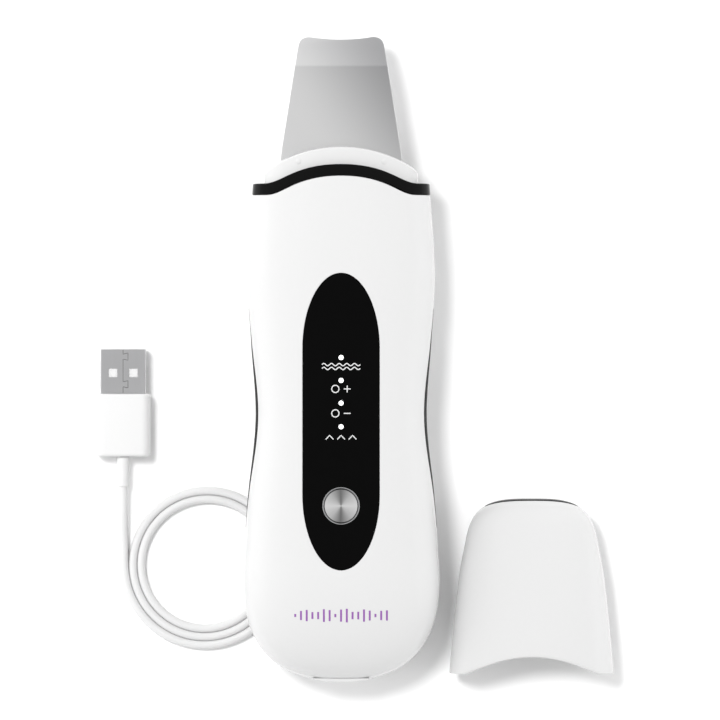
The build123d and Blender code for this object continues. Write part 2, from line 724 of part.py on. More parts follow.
def cord_tube(name, points):
    radii = route_radii(points)
    path = FilletPolyline(*points, radius=radii)
    profile = Plane(origin=path @ 0, z_dir=path % 0) * Circle(CORD_D / 2)
    tube = sweep(profile, path=path).solid()
    expected = math.pi * CORD_D**2 / 4 * path.length
    print(name, "length", round(path.length, 1), "radii", [round(r, 1) for r in radii],
          "volume", round(tube.volume, 2), "expected", round(expected, 2))
    return tube


PLUG_MOULD_END_Y = PLUG_RELIEF_END_Y + 8.0
PLUG_MOULD_TOP_Y = PLUG_MOULD_END_Y + 16.6
PLUG_METAL_TOP_Y = PLUG_MOULD_TOP_Y + 11.7


def y_box(x, z, y0, y1, width, height, radius):
    shape = block(x - width / 2, x + width / 2, y0, y1, z - height / 2, z + height / 2)
    return fillet(shape.edges().filter_by(Axis.Y), radius)


def usb_plug_shell():
    tube = y_box(PLUG_X, PLUG_Z, PLUG_MOULD_TOP_Y, PLUG_METAL_TOP_Y, 12.0, 4.5, 0.5)
    tube -= block(PLUG_X - 5.7, PLUG_X + 5.7, PLUG_MOULD_TOP_Y + 0.4, 60, PLUG_Z - 1.95, PLUG_Z + 1.95)
    for x in (-2.7, 2.7):
        y = PLUG_METAL_TOP_Y - 6.2
        tube -= block(PLUG_X + x - 1.15, PLUG_X + x + 1.15, y - 1.15, y + 1.15, -1, 12)
    return tube


def usb_plug_tongue():
    return block(PLUG_X - 5.5, PLUG_X + 5.5, PLUG_MOULD_TOP_Y + 0.45, PLUG_METAL_TOP_Y - 0.4, PLUG_Z + 0.1, PLUG_Z + 1.93)


def usb_plug_contacts():
    strips = []
    for x in (-3.5, -1.0, 1.0, 3.5):
        strips.append(block(PLUG_X + x - 0.5, PLUG_X + x + 0.5, PLUG_MOULD_TOP_Y + 2, PLUG_METAL_TOP_Y - 1.4,
                            PLUG_Z - 0.05, PLUG_Z + 0.1))
    return Compound(strips)


def usb_plug_overmould():
    body = y_box(PLUG_X, PLUG_Z, PLUG_MOULD_END_Y, PLUG_MOULD_TOP_Y - 0.02, 14.4, 2 * PLUG_Z, 2.2)
    ends = body.faces().sort_by(Axis.Y)
    try:
        body = fillet(ends[0].edges() + ends[-1].edges(), 0.8)
    except Exception:
        print("plug ends left sharp")
    return body


def tapered_relief(x, z, y0, y1, r0, r1):
    """Plain soft sleeve from y0 (cord end) to y1 (plug end)."""
    return Pos(x, (y0 + y1) / 2, z) * Rot(-90, 0, 0) * Cone(r0, r1, y1 - y0)


def usb_plug_relief():
    return tapered_relief(PLUG_X, PLUG_Z, PLUG_RELIEF_END_Y, PLUG_MOULD_END_Y, 1.45, 1.6)


MICRO_MOULD_Y = MICRO_END_Y + 7.0
MICRO_TOP_Y = MICRO_MOULD_Y + 14.0


def micro_plug_relief():
    return tapered_relief(MICRO_X, MICRO_Z, MICRO_END_Y, MICRO_MOULD_Y, 1.4, 1.55)


def micro_plug_overmould():
    body = y_box(MICRO_X, MICRO_Z, MICRO_MOULD_Y, MICRO_TOP_Y, 10.2, 2 * MICRO_Z, 1.9)
    return body


def micro_plug_shell():
    tube = y_box(MICRO_X, MICRO_Z, MICRO_TOP_Y, MICRO_TOP_Y + 5.2, 6.85, 1.8, 0.5)
    return tube - block(MICRO_X - 3.1, MICRO_X + 3.1, MICRO_TOP_Y + 0.5, 90, MICRO_Z - 0.6, MICRO_Z + 0.6)


# ---------------------------------------------------------------- write every node
def cut_port(shell):
    shell -= port_opening()
    return shell


save(cut_port(front_shell()), "front_shell")
save(cut_port(rear_shell()), "rear_shell")
save(shoulder_band(), "shoulder_band")
save(nose_collar(), "nose_collar")
save(spatula_blade(), "spatula_blade")
save(blade_gasket(), "blade_gasket")
save(blade_clamp(), "blade_clamp")
save(clamp_screws(), "clamp_screws")
save(piezo_discs(), "piezo_discs")
save(control_panel(), "control_panel")
save(panel_adhesive(), "panel_adhesive")
save(light_guides(), "light_guides")
save(status_leds(), "status_leds")
save(light_shield(), "light_shield")
save(button_ring(), "button_ring")
save(button_cap(), "button_cap")
save(switch_body(), "switch_body")
save(switch_plunger(), "switch_plunger")
save(main_board(), "main_board")
save(board_screws(), "board_screws")
save(case_screws(), "case_screws")
save(chip(0, -26, BOARD_Z - 0.01, 7, 7, 1.2), "controller_chip")
save(capacitors(), "capacitors")
save(transformer(), "drive_transformer")
save(transformer_coil(), "transformer_winding")
save(battery_cell(), "battery_cell")
save(battery_foam(), "battery_foam")
save(charge_board(), "charge_board")
save(chip(0, -56.5, CHARGE_BOARD_Z + 0.9 + 1.3, 4, 4, 1.29), "charger_chip")
save(usb_socket(), "usb_socket")
save(drive_wires(), "drive_wires")
save(battery_wires(), "battery_wires")
save(side_strip(-1), "side_electrode_left")
save(side_strip(1), "side_electrode_right")
save(port_cover(), "port_cover")
shell_of_cap = cap_body()
save(shell_of_cap - cap_strip_tool(0.05, 0.6), "cap_shell")
save((cap_form(0) & cap_strip_tool(0, 0.55)), "cap_top_strip")
save(cord_coil(), "cord_coil")
save(cord_tube("cord_lead", LEAD_ROUTE), "cord_lead")
save(cord_tube("cord_tail", TAIL_ROUTE), "cord_tail")
save(usb_plug_shell(), "usb_plug_shell")
save(usb_plug_tongue(), "usb_plug_tongue")
save(usb_plug_contacts(), "usb_plug_contacts")
save(usb_plug_overmould(), "usb_plug_overmould")
save(usb_plug_relief(), "usb_plug_relief")
save(micro_plug_relief(), "micro_plug_relief")
save(micro_plug_overmould(), "micro_plug_overmould")
save(micro_plug_shell(), "micro_plug_shell")
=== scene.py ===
# %% [markdown]
# # A skin scrubber with its blade cap and charging lead
# The handset lies on its back, the cap lies beside it, and the lead is coiled at its other side.
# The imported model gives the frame: which piece rides on which body, and how far each one moves. It
# could be shown as it is, but its faces are plain. So the pieces that show are built again here with
# a finer form, every finish is added, and the inner pieces are kept.
# Lengths on the object are written in millimetres, as on a drawing, and turned into metres when a
# mesh is made. The camera, the floor and the lights are placed in metres.

# %% Load the frame and note its box
import math
import bmesh
import bpy
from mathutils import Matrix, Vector


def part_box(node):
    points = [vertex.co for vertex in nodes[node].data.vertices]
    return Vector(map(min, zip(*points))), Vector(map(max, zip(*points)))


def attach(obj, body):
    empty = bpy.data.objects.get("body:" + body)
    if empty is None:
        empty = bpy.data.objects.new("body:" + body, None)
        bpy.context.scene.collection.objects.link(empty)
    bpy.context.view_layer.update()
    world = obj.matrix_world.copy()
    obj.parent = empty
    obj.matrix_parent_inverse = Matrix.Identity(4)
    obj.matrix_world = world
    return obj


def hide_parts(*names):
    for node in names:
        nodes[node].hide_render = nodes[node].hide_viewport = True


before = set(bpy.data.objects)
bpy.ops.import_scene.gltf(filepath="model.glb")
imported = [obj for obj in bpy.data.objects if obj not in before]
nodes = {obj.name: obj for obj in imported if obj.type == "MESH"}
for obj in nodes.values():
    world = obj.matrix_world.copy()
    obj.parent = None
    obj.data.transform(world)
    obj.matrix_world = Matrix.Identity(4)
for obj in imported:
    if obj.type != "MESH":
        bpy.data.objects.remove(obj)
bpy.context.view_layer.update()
MM = 0.001

# %% [markdown]
# ## Camera
# The object is seen from straight above. An orthographic camera would flatten it fully. A very long
# lens is nearly as flat and keeps the slight lean that a real lens gives to tall parts, so it is used
# here. Its distance follows from the width that the frame has to cover.

# %% Camera
VIEW_WIDTH = 0.1895
VIEW_CENTRE = (0.00495, 0.01526)
VIEW_LEVEL = 0.012
LENS = 400.0
SENSOR = 36.0
camera_data = bpy.data.cameras.new("overhead_camera")
camera_data.lens = LENS
camera_data.sensor_width = SENSOR
camera = bpy.data.objects.new("overhead_camera", camera_data)
bpy.context.scene.collection.objects.link(camera)
camera.location = (*VIEW_CENTRE, VIEW_LEVEL + VIEW_WIDTH * LENS / SENSOR)
bpy.context.scene.camera = camera
print("camera height", round(camera.location.z, 3))

# %% [markdown]
# ## Helpers for finishes
# A finish is one principled shader with a little noise. Its nodes could be written out each time, but
# they repeat. So small helpers make a material, add a node with its settings, drive a bump with a
# grain, and turn a pattern into a range of numbers or a tint.


# %% Helpers for shader nodes
def new_material(name):
    """A material with only its output and one principled shader."""
    material = bpy.data.materials.new(name)
    material.use_nodes = True
    shader = material.node_tree.nodes["Principled BSDF"]
    return material, material.node_tree, shader


def add_node(tree, kind, **settings):
    node = tree.nodes.new(kind)
    for key, value in settings.items():
        if key in node.inputs:
            node.inputs[key].default_value = value
        else:
            setattr(node, key, value)
    return node


def grain(tree, shader, scale, strength, distance, stretch=(1, 1, 1), detail=3.0):
    """Fine surface unevenness: noise, stretched as asked, fed to a bump."""
    place = add_node(tree, "ShaderNodeTexCoord")
    mapping = add_node(tree, "ShaderNodeMapping")
    mapping.inputs["Scale"].default_value = stretch
    noise = add_node(tree, "ShaderNodeTexNoise", Scale=scale, Detail=detail)
    bump = add_node(tree, "ShaderNodeBump", Strength=strength, Distance=distance)
    tree.links.new(place.outputs["Object"], mapping.inputs["Vector"])
    tree.links.new(mapping.outputs["Vector"], noise.inputs["Vector"])
    tree.links.new(noise.outputs["Fac"], bump.inputs["Height"])
    tree.links.new(bump.outputs["Normal"], shader.inputs["Normal"])
    return noise


def vary(tree, source, target, low, high):
    """Turns a 0 to 1 pattern into a range for a number socket."""
    span = add_node(tree, "ShaderNodeMapRange")
    span.inputs["To Min"].default_value = low
    span.inputs["To Max"].default_value = high
    tree.links.new(source, span.inputs["Value"])
    tree.links.new(span.outputs["Result"], target)


def tint(tree, source, shader, dark, light):
    """Turns a 0 to 1 pattern into a colour between two close shades."""
    ramp = add_node(tree, "ShaderNodeValToRGB")
    ramp.color_ramp.elements[0].color = (*dark, 1)
    ramp.color_ramp.elements[1].color = (*light, 1)
    tree.links.new(source, ramp.inputs["Fac"])
    tree.links.new(ramp.outputs["Color"], shader.inputs["Base Color"])

# %% [markdown]
# ## Floor
# The set is a pale table. A studio sweep would curve up behind the object, but the view comes from
# above, so one flat sheet is enough. It lies a hair below the pieces, so that no face lies in another.

# %% Floor
FLOOR_HALF = 4.0
FLOOR_DROP = 0.0002
floor_mesh = bpy.data.meshes.new("floor")
floor_mesh.from_pydata(
    [(-FLOOR_HALF, -FLOOR_HALF, 0), (FLOOR_HALF, -FLOOR_HALF, 0), (FLOOR_HALF, FLOOR_HALF, 0),
     (-FLOOR_HALF, FLOOR_HALF, 0)], [], [(0, 1, 2, 3)])
floor = bpy.data.objects.new("floor", floor_mesh)
bpy.context.scene.collection.objects.link(floor)
floor.location.z = -FLOOR_DROP
floor_paint, floor_tree, floor_shader = new_material("pale_floor")
floor_shader.inputs["Roughness"].default_value = 0.9
floor_shader.inputs["Specular IOR Level"].default_value = 0.1
floor_noise = grain(floor_tree, floor_shader, 40.0, 0.02, 0.001)
tint(floor_tree, floor_noise.outputs["Fac"], floor_shader, (0.9, 0.9, 0.9), (0.92, 0.92, 0.92))
floor_mesh.materials.append(floor_paint)
print("floor", 2 * FLOOR_HALF, "m wide")

# %% [markdown]
# ## Light
# One soft light high at the upper left throws the shadow to the lower right, and two weaker ones low
# at the sides keep the white flanks light. Sun lamps would be simpler, but area lights give the
# shadow its soft edge. They are hidden from gloss, because their discs would show as hard spots in
# the steel.


# %% Lights
def area_light(name, place, size, power):
    """A round soft light that looks at the middle of the set."""
    data = bpy.data.lights.new(name, "AREA")
    data.shape = "DISK"
    data.size = size
    data.energy = power
    lamp = bpy.data.objects.new(name, data)
    bpy.context.scene.collection.objects.link(lamp)
    lamp.location = place
    lamp.rotation_euler = (-Vector(place)).to_track_quat("-Z", "Y").to_euler()
    lamp.visible_glossy = False
    print(name, "at", place, "with", power, "W")


area_light("key_light", (-0.37, 0.35, 1.12), 0.36, 10.2)
area_light("left_light", (-0.9, 0.05, 0.28), 0.6, 2.6)
area_light("right_light", (0.9, -0.05, 0.28), 0.6, 3.2)

# %% [markdown]
# ## Surround
# White plastic takes its shading from all around it. A flat grey world would make it look like
# paper. This one is brighter at the horizon than overhead, so rounded flanks stay light and the
# crowns of the shells go a little grey, as between studio side panels.

# %% Surround
HORIZON_STRENGTH, ZENITH_STRENGTH = 0.95, 0.63
world = bpy.data.worlds.new("pale_surround")
bpy.context.scene.world = world
world.use_nodes = True
world_tree = world.node_tree
sky_place = add_node(world_tree, "ShaderNodeTexCoord")
sky_split = add_node(world_tree, "ShaderNodeSeparateXYZ")
world_tree.links.new(sky_place.outputs["Generated"], sky_split.inputs["Vector"])
sky = world_tree.nodes["Background"]
sky.inputs["Color"].default_value = (1, 1, 1, 1)
vary(world_tree, sky_split.outputs["Z"], sky.inputs["Strength"], HORIZON_STRENGTH, ZENITH_STRENGTH)
bpy.context.scene.view_settings.view_transform = "Standard"
print("surround", HORIZON_STRENGTH, "to", ZENITH_STRENGTH)

# %% [markdown]
# ## Charging lead
# One soft cable, 2.2 mm thick. It leaves the small plug under the nose, runs below the flank, climbs
# over the flat coil, makes two and a half turns outwards, and leaves the coil at its left for the
# large plug. A circle could be swept into a mesh, but a curve with a round bevel is easier to follow:
# its points are the route itself. The coil's points come from a loop, the others are listed one by one.

# %% Route of the lead
CORD_D = 2.2
COIL_X, COIL_Y, COIL_OUTER_R = -35.8, -39.2, 22.6
PLUG_X, PLUG_Z, PLUG_RELIEF_END_Y = -57.6, 3.4, -18.2
MICRO_X, MICRO_Z, MICRO_END_Y = -9.0, 2.8, 43.0
SPIRAL_TURNS = 2.5
POINTS_PER_TURN = 28
CORNER_CUT = 0.12
INNER_TURN_R = COIL_OUTER_R - CORD_D / 2 - SPIRAL_TURNS * CORD_D
tail_x = COIL_X + INNER_TURN_R
tail = [
    (MICRO_X, MICRO_END_Y, MICRO_Z), (-9.1, 36.8, 2.6), (-10.4, 29.5, 1.3), (-14.2, 20.0, 1.12),
    (-16.6, 9.0, 1.1), (-18.2, -3.0, 1.1), (tail_x - 0.7, -14.0, 1.4), (tail_x - 1.0, -22.0, 4.5),
    (tail_x - 0.7, -30.0, 4.5), (tail_x - 0.2, -35.0, 1.5),
]
spiral = []
for k in range(int(SPIRAL_TURNS * POINTS_PER_TURN) + 1):
    turn = k / POINTS_PER_TURN
    angle = -2 * math.pi * turn
    radius = INNER_TURN_R + CORD_D * turn + CORNER_CUT
    spiral.append((COIL_X + radius * math.cos(angle), COIL_Y + radius * math.sin(angle), CORD_D / 2))
lead = [(-57.45, -31.6, 1.35), (PLUG_X, -25.4, PLUG_Z - 0.1), (PLUG_X, PLUG_RELIEF_END_Y, PLUG_Z)]
route = tail + spiral + lead
print("route points", len(route))

# %% Lead as a smooth curve
curve = bpy.data.curves.new("charging_cord", "CURVE")
curve.dimensions = "3D"
spline = curve.splines.new("NURBS")
spline.points.add(len(route) - 1)
for point, place in zip(spline.points, route):
    point.co = (place[0] * MM, place[1] * MM, place[2] * MM, 1)
spline.order_u = 3
spline.use_endpoint_u = True
spline.resolution_u = 6
curve.bevel_depth = CORD_D / 2 * MM
curve.bevel_resolution = 5
curve.use_fill_caps = True
cord = bpy.data.objects.new("charging_cord", curve)
bpy.context.scene.collection.objects.link(cord)
print("cord curve", len(spline.points), "points")

# %% [markdown]
# ## Mesh helpers
# The shells, the cap and the collar are smooth mouldings. They could be sculpted, or subdivided from
# a rough cage. Here they are grids: rows of points that follow a formula, joined by quads. That gives
# even highlights on glossy plastic, and every size stays a number. Open skins get their wall from
# Solidify, and a small Bevel rounds the rims so that they catch the light, as moulded edges do.


# %% Meshes from points
def link_mesh(name, points, faces):
    mesh = bpy.data.meshes.new(name)
    mesh.from_pydata([(x * MM, y * MM, z * MM) for x, y, z in points], [], faces)
    piece = bpy.data.objects.new(name, mesh)
    bpy.context.scene.collection.objects.link(piece)
    return piece


def tidy_mesh(piece, weld=0.00001):
    """Welds doubled points, removes empty faces and turns every face outwards."""
    work = bmesh.new()
    work.from_mesh(piece.data)
    bmesh.ops.remove_doubles(work, verts=work.verts, dist=weld)
    bmesh.ops.dissolve_degenerate(work, edges=work.edges, dist=weld / 2)
    bmesh.ops.recalc_face_normals(work, faces=work.faces)
    work.to_mesh(piece.data)
    work.free()
    return piece


def grid_faces(rows, columns, wrap=False):
    faces = []
    for r in range(rows - 1):
        for c in range(columns if wrap else columns - 1):
            d = (c + 1) % columns
            faces.append((r * columns + c, r * columns + d, (r + 1) * columns + d, (r + 1) * columns + c))
    return faces


def grid_piece(name, rows, wrap=False, close_first=False, close_last=False):
    """Mesh from rows of equal length; a ring of rows can be closed by a cap face at either end."""
    columns = len(rows[0])
    points = [p for row in rows for p in row]
    faces = grid_faces(len(rows), columns, wrap)
    if close_first:
        faces.append(tuple(range(columns)))
    if close_last:
        faces.append(tuple((len(rows) - 1) * columns + c for c in range(columns)))
    return tidy_mesh(link_mesh(name, points, faces))


# %% Walls and rims
def apply_modifiers(piece):
    graph = bpy.context.evaluated_depsgraph_get()
    made = bpy.data.meshes.new_from_object(piece.evaluated_get(graph))
    piece.modifiers.clear()
    piece.data = made
    return piece


def soften(piece, rim=0.2, segments=3, angle=40.0, wall=0.0, flat=False):
    """Adds a wall, rounds the sharp rims and shades the rest smooth; flat keeps big faces level."""
    if wall:
        thick = piece.modifiers.new("wall", "SOLIDIFY")
        thick.thickness = wall * MM
        thick.offset = -1
        thick.use_even_offset = True
    if rim:
        bevel = piece.modifiers.new("rim", "BEVEL")
        bevel.width = rim * MM
        bevel.segments = segments
        bevel.limit_method = "ANGLE"
        bevel.angle_limit = math.radians(angle)
        bevel.use_clamp_overlap = True
        bevel.harden_normals = flat
    if flat:
        piece.data.shade_smooth()
        return apply_modifiers(piece)
    apply_modifiers(piece)
    piece.data.shade_smooth()
    piece.data.set_sharp_from_angle(angle=math.radians(angle))
    return piece


# %% Finish and body of a piece, and the nodes it replaces
def finish_piece(piece, body, material, stands_for=()):
    piece.data.materials.clear()
    piece.data.materials.append(material)
    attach(piece, body)
    if stands_for:
        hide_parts(*stands_for)
    print(piece.name, "on", body, "faces", len(piece.data.polygons) if piece.type == "MESH" else "curve")
    return piece


# %% [markdown]
# ## Finishes
# Each finish is one short function: glossy white and black mouldings, ground steel, spun metal, soft
# cable, silicone. Painted textures could carry the grain, but noise needs no files and no unwrapping
# and shows no seams. The grain is small and shallow, because the real surfaces look smooth.


# %% White and black mouldings
def moulded_white(name, shade, roughness, coat):
    material, tree, shader = new_material(name)
    shader.inputs["IOR"].default_value = 1.5
    shader.inputs["Coat Weight"].default_value = coat
    shader.inputs["Coat Roughness"].default_value = 0.06
    noise = grain(tree, shader, 900.0, 0.015, 0.0001)
    tint(tree, noise.outputs["Fac"], shader, [shade * 0.99] * 3, [shade * 1.01] * 3)
    vary(tree, noise.outputs["Fac"], shader.inputs["Roughness"], roughness * 0.9, roughness * 1.15)
    return material


def moulded_black(name, shade, roughness, gloss=0.25):
    material, tree, shader = new_material(name)
    shader.inputs["Specular IOR Level"].default_value = gloss
    noise = grain(tree, shader, 500.0, 0.01, 0.0001)
    tint(tree, noise.outputs["Fac"], shader, [shade * 0.8] * 3, [shade * 1.2] * 3)
    vary(tree, noise.outputs["Fac"], shader.inputs["Roughness"], roughness * 0.85, roughness * 1.2)
    return material


shell_white = moulded_white("shell_white", 0.585, 0.24, 0.3)
cap_white = moulded_white("cap_white", 0.585, 0.24, 0.3)
plug_white = moulded_white("plug_white", 0.66, 0.35, 0.1)
cord_white = moulded_white("cord_white", 0.64, 0.45, 0.0)
silicone_white = moulded_white("silicone_white", 0.585, 0.45, 0.0)
panel_black = moulded_black("panel_black", 0.001, 0.12, 0.06)
band_black = moulded_black("band_black", 0.002, 0.2, 0.12)
foam_black = moulded_black("foam_black", 0.02, 0.8)
cord.data.materials.append(cord_white)
print("mouldings", len(bpy.data.materials))


# %% Metals
def brushed(name, shade, roughness, scale, stretch, depth=0.05):
    """Metal with fine grinding lines along the axis that is stretched least."""
    material, tree, shader = new_material(name)
    shader.inputs["Metallic"].default_value = 1.0
    noise = grain(tree, shader, scale, depth, 0.00005, stretch)
    tint(tree, noise.outputs["Fac"], shader, [c * 0.94 for c in shade], [min(1, c * 1.04) for c in shade])
    vary(tree, noise.outputs["Fac"], shader.inputs["Roughness"], roughness * 0.85, roughness * 1.2)
    return material


plug_metal = brushed("plug_metal", (0.66, 0.66, 0.67), 0.32, 600.0, (1, 0.05, 1))
screw_metal = brushed("screw_metal", (0.5, 0.5, 0.52), 0.35, 800.0, (1, 1, 0.2))
contact_gold = brushed("contact_gold", (0.85, 0.62, 0.22), 0.3, 800.0, (1, 0.1, 1))
copper_wire = brushed("copper_wire", (0.65, 0.3, 0.14), 0.35, 2500.0, (0.1, 0.1, 1))
foil_metal = brushed("foil_metal", (0.7, 0.7, 0.72), 0.4, 300.0, (1, 1, 1))
ring_metal = brushed("ring_metal", (0.6, 0.6, 0.61), 0.22, 900.0, (1, 1, 0.2))
print("with metals", len(bpy.data.materials))

# %% [markdown]
# ## Blade steel
# The blade is satin steel, and its reflection fades from bright at one lower corner to darker at the
# other upper one. A reflected card could draw that fade, but it would move with the view. So the fade
# is a painted reflection: a ramp over the blade's own coordinates tints the metal, and stretched noise
# adds the fine grinding lines.


# %% Blade steel
# Painted reflection: the blade's base colour runs from bright steel to darker steel across the plate.
FADE_ACROSS, FADE_ALONG, FADE_SHIFT = 26.0, 16.0, -0.98
PAINTED_BRIGHT_REFLECTION, PAINTED_DARK_REFLECTION = (0.98, 0.98, 0.98, 1), (0.42, 0.42, 0.43, 1)


def blade_finish():
    material, tree, shader = new_material("blade_steel")
    shader.inputs["Metallic"].default_value = 1.0
    noise = grain(tree, shader, 500.0, 0.03, 0.00002, (0.03, 1, 1), 4.0)
    place = add_node(tree, "ShaderNodeTexCoord")
    split = add_node(tree, "ShaderNodeSeparateXYZ")
    tree.links.new(place.outputs["Object"], split.inputs["Vector"])
    across = add_node(tree, "ShaderNodeMath", operation="MULTIPLY")
    across.inputs[1].default_value = FADE_ACROSS
    along = add_node(tree, "ShaderNodeMath", operation="MULTIPLY_ADD")
    along.inputs[1].default_value = FADE_ALONG
    along.inputs[2].default_value = FADE_SHIFT
    total = add_node(tree, "ShaderNodeMath", operation="ADD")
    # The ramp paints the fade of the reflection into the base colour.
    ramp = add_node(tree, "ShaderNodeValToRGB")
    ramp.color_ramp.interpolation = "EASE"
    ramp.color_ramp.elements[0].color = PAINTED_BRIGHT_REFLECTION
    ramp.color_ramp.elements[1].color = PAINTED_DARK_REFLECTION
    tree.links.new(split.outputs["X"], across.inputs[0])
    tree.links.new(split.outputs["Y"], along.inputs[0])
    tree.links.new(across.outputs["Value"], total.inputs[0])
    tree.links.new(along.outputs["Value"], total.inputs[1])
    tree.links.new(total.outputs["Value"], ramp.inputs["Fac"])
    tree.links.new(ramp.outputs["Color"], shader.inputs["Base Color"])
    vary(tree, noise.outputs["Fac"], shader.inputs["Roughness"], 0.26, 0.32)
    return material


blade_steel = blade_finish()
print("blade steel fades over", round(1000 / FADE_ACROSS, 1), "mm across")

# %% [markdown]
# ## Spun metal
# Turning marks run round the button's middle, and light gathers in two bright wedges between two
# dark ones. An anisotropic shader can do this too, but its wedges move with the view and it asks for
# a tangent on every face. So rings drive the bump, and a radial gradient paints the bright and dark
# wedges into the metal's colour: painted highlights and painted shade.


# %% Spun metal
BUTTON_Y = -22.9
# Painted highlights and shade: the metal's colour at each share of a turn round the button.
PAINTED_WEDGES = [(0.0, 0.95), (0.13, 0.7), (0.245, 0.22), (0.36, 0.66), (0.5, 0.95), (0.63, 0.7),
          (0.755, 0.24), (0.87, 0.66), (1.0, 0.95)]


def spun_finish(centre_x, centre_y):
    material, tree, shader = new_material("spun_steel")
    shader.inputs["Metallic"].default_value = 1.0
    shader.inputs["Roughness"].default_value = 0.36
    place = add_node(tree, "ShaderNodeTexCoord")
    shift = add_node(tree, "ShaderNodeMapping")
    shift.inputs["Location"].default_value = (-centre_x * MM, -centre_y * MM, 0)
    rings = add_node(tree, "ShaderNodeTexWave", wave_type="RINGS", rings_direction="Z",
                     Scale=1500.0, Distortion=0.8)
    bump = add_node(tree, "ShaderNodeBump", Strength=0.1, Distance=0.00002)
    around = add_node(tree, "ShaderNodeTexGradient", gradient_type="RADIAL")
    # The ramp paints the highlight wedges into the base colour.
    ramp = add_node(tree, "ShaderNodeValToRGB")
    ramp.color_ramp.elements[0].position = PAINTED_WEDGES[0][0]
    ramp.color_ramp.elements[1].position = PAINTED_WEDGES[-1][0]
    for position, _ in PAINTED_WEDGES[1:-1]:
        ramp.color_ramp.elements.new(position)
    for stop, (_, shade) in zip(ramp.color_ramp.elements, PAINTED_WEDGES):
        stop.color = (shade, shade, shade, 1)
    tree.links.new(place.outputs["Object"], shift.inputs["Vector"])
    tree.links.new(shift.outputs["Vector"], rings.inputs["Vector"])
    tree.links.new(shift.outputs["Vector"], around.inputs["Vector"])
    tree.links.new(around.outputs["Fac"], ramp.inputs["Fac"])
    tree.links.new(ramp.outputs["Color"], shader.inputs["Base Color"])
    tree.links.new(rings.outputs["Fac"], bump.inputs["Height"])
    tree.links.new(bump.outputs["Normal"], shader.inputs["Normal"])
    return material


spun_steel = spun_finish(0.0, BUTTON_Y)
print("spun steel wedges", len(PAINTED_WEDGES))

# %% [markdown]
# ## Prints, lamps and inner parts
# Ink, lamp windows, boards and wires are plain colours with a faint grain. One function makes them
# all. The lamps could hold real lights, but a weak glow of the window itself is all that shows.


# %% Prints, lamps and inner parts
def plain_print(name, colour, roughness=0.5):
    material, tree, shader = new_material(name)
    noise = grain(tree, shader, 1500.0, 0.03, 0.00003)
    tint(tree, noise.outputs["Fac"], shader, [c * 0.96 for c in colour], [min(1, c * 1.04) for c in colour])
    shader.inputs["Roughness"].default_value = roughness
    return material


def lamp_finish():
    material, tree, shader = new_material("lamp_window")
    grain(tree, shader, 1200.0, 0.02, 0.00003)
    shader.inputs["Base Color"].default_value = (0.95, 0.95, 0.95, 1)
    shader.inputs["Emission Color"].default_value = (1, 1, 1, 1)
    shader.inputs["Emission Strength"].default_value = 0.55
    return material


print_white = plain_print("print_white", (0.62, 0.62, 0.62))
print_purple = plain_print("print_purple", (0.24, 0.09, 0.32))
strip_dark = moulded_black("strip_dark", 0.008, 0.45, 0.06)
board_green = plain_print("board_green", (0.02, 0.2, 0.09), 0.35)
chip_black = plain_print("chip_black", (0.03, 0.03, 0.035), 0.5)
inner_plastic = plain_print("inner_plastic", (0.7, 0.7, 0.68), 0.45)
ceramic_pale = plain_print("ceramic_pale", (0.8, 0.76, 0.66), 0.4)
ferrite_dark = plain_print("ferrite_dark", (0.07, 0.07, 0.08), 0.6)
film_pale = plain_print("film_pale", (0.8, 0.8, 0.75), 0.4)
wire_red = plain_print("wire_red", (0.5, 0.03, 0.02), 0.4)
lamp_window = lamp_finish()
print("all finishes", len(bpy.data.materials))

# %% [markdown]
# ## The handset's form
# The real casing is a rounded bar: wide at the shoulder, narrow at the waist, full at the chin. It
# could be lofted through drawn sections. Here its width, front depth and rear depth are smooth curves
# through a few stations, so any point of the surface can be worked out, and every piece that lies
# on the casing fits it.

# %% Stations along the handset
PARTING_Z = 13.5
CHIN_START_Y, CHIN_LENGTH, CHIN_FLAT_Y = -41.0, 27.95, -68.3
FRONT_POWER = 2.3
WIDTH_CLOSE, DEPTH_CLOSE = 2.5, 2.2
WIDTHS = [(-41, 25.92), (-21, 24.5), (0, 22.45), (20, 23.65), (38, 24.68), (60, 23.3), (72, 22.4)]
FRONTS = [(-41, 12.0), (-10, 11.7), (20, 11.3), (40, 11.1), (60, 10.3), (72, 9.8)]
REARS = [(-41, 14.2), (-10, 14.1), (8, 13.4), (24, 10.8), (40, 8.4), (52, 7.4), (72, 6.9)]
print("stations", len(WIDTHS), len(FRONTS), len(REARS))


# %% Smooth curves through the stations
def smooth(stations, y):
    """Value at y of a smooth curve through the stations."""
    ys = [s[0] for s in stations]
    vs = [s[1] for s in stations]
    if y <= ys[0]:
        return vs[0]
    if y >= ys[-1]:
        return vs[-1]
    i = max(k for k in range(len(ys) - 1) if ys[k] <= y)

    def slope(k):
        low = max(k - 1, 0)
        high = min(k + 1, len(ys) - 1)
        return (vs[high] - vs[low]) / (ys[high] - ys[low])

    h = ys[i + 1] - ys[i]
    t = (y - ys[i]) / h
    rise = (2 * t**3 - 3 * t**2 + 1) * vs[i] + (3 * t**2 - 2 * t**3) * vs[i + 1]
    bend = (t**3 - 2 * t**2 + t) * slope(i) + (t**3 - t**2) * slope(i + 1)
    return rise + h * bend


def chin(y, power):
    t = min(0.99999, max(0.0, (CHIN_START_Y - y) / CHIN_LENGTH))
    return (1 - t**power) ** (1 / power)


def half_width(y):
    return smooth(WIDTHS, y) * chin(y, WIDTH_CLOSE)


def depth_at(y, side):
    return smooth(FRONTS if side > 0 else REARS, y) * chin(y, DEPTH_CLOSE)


print("waist", round(2 * half_width(0.0), 2), "mm wide")


# %% Points of the outer form
def squared(share, power):
    """Pulls the sine or cosine of a circle out to a squarer oval."""
    return math.copysign(abs(share) ** power, share)


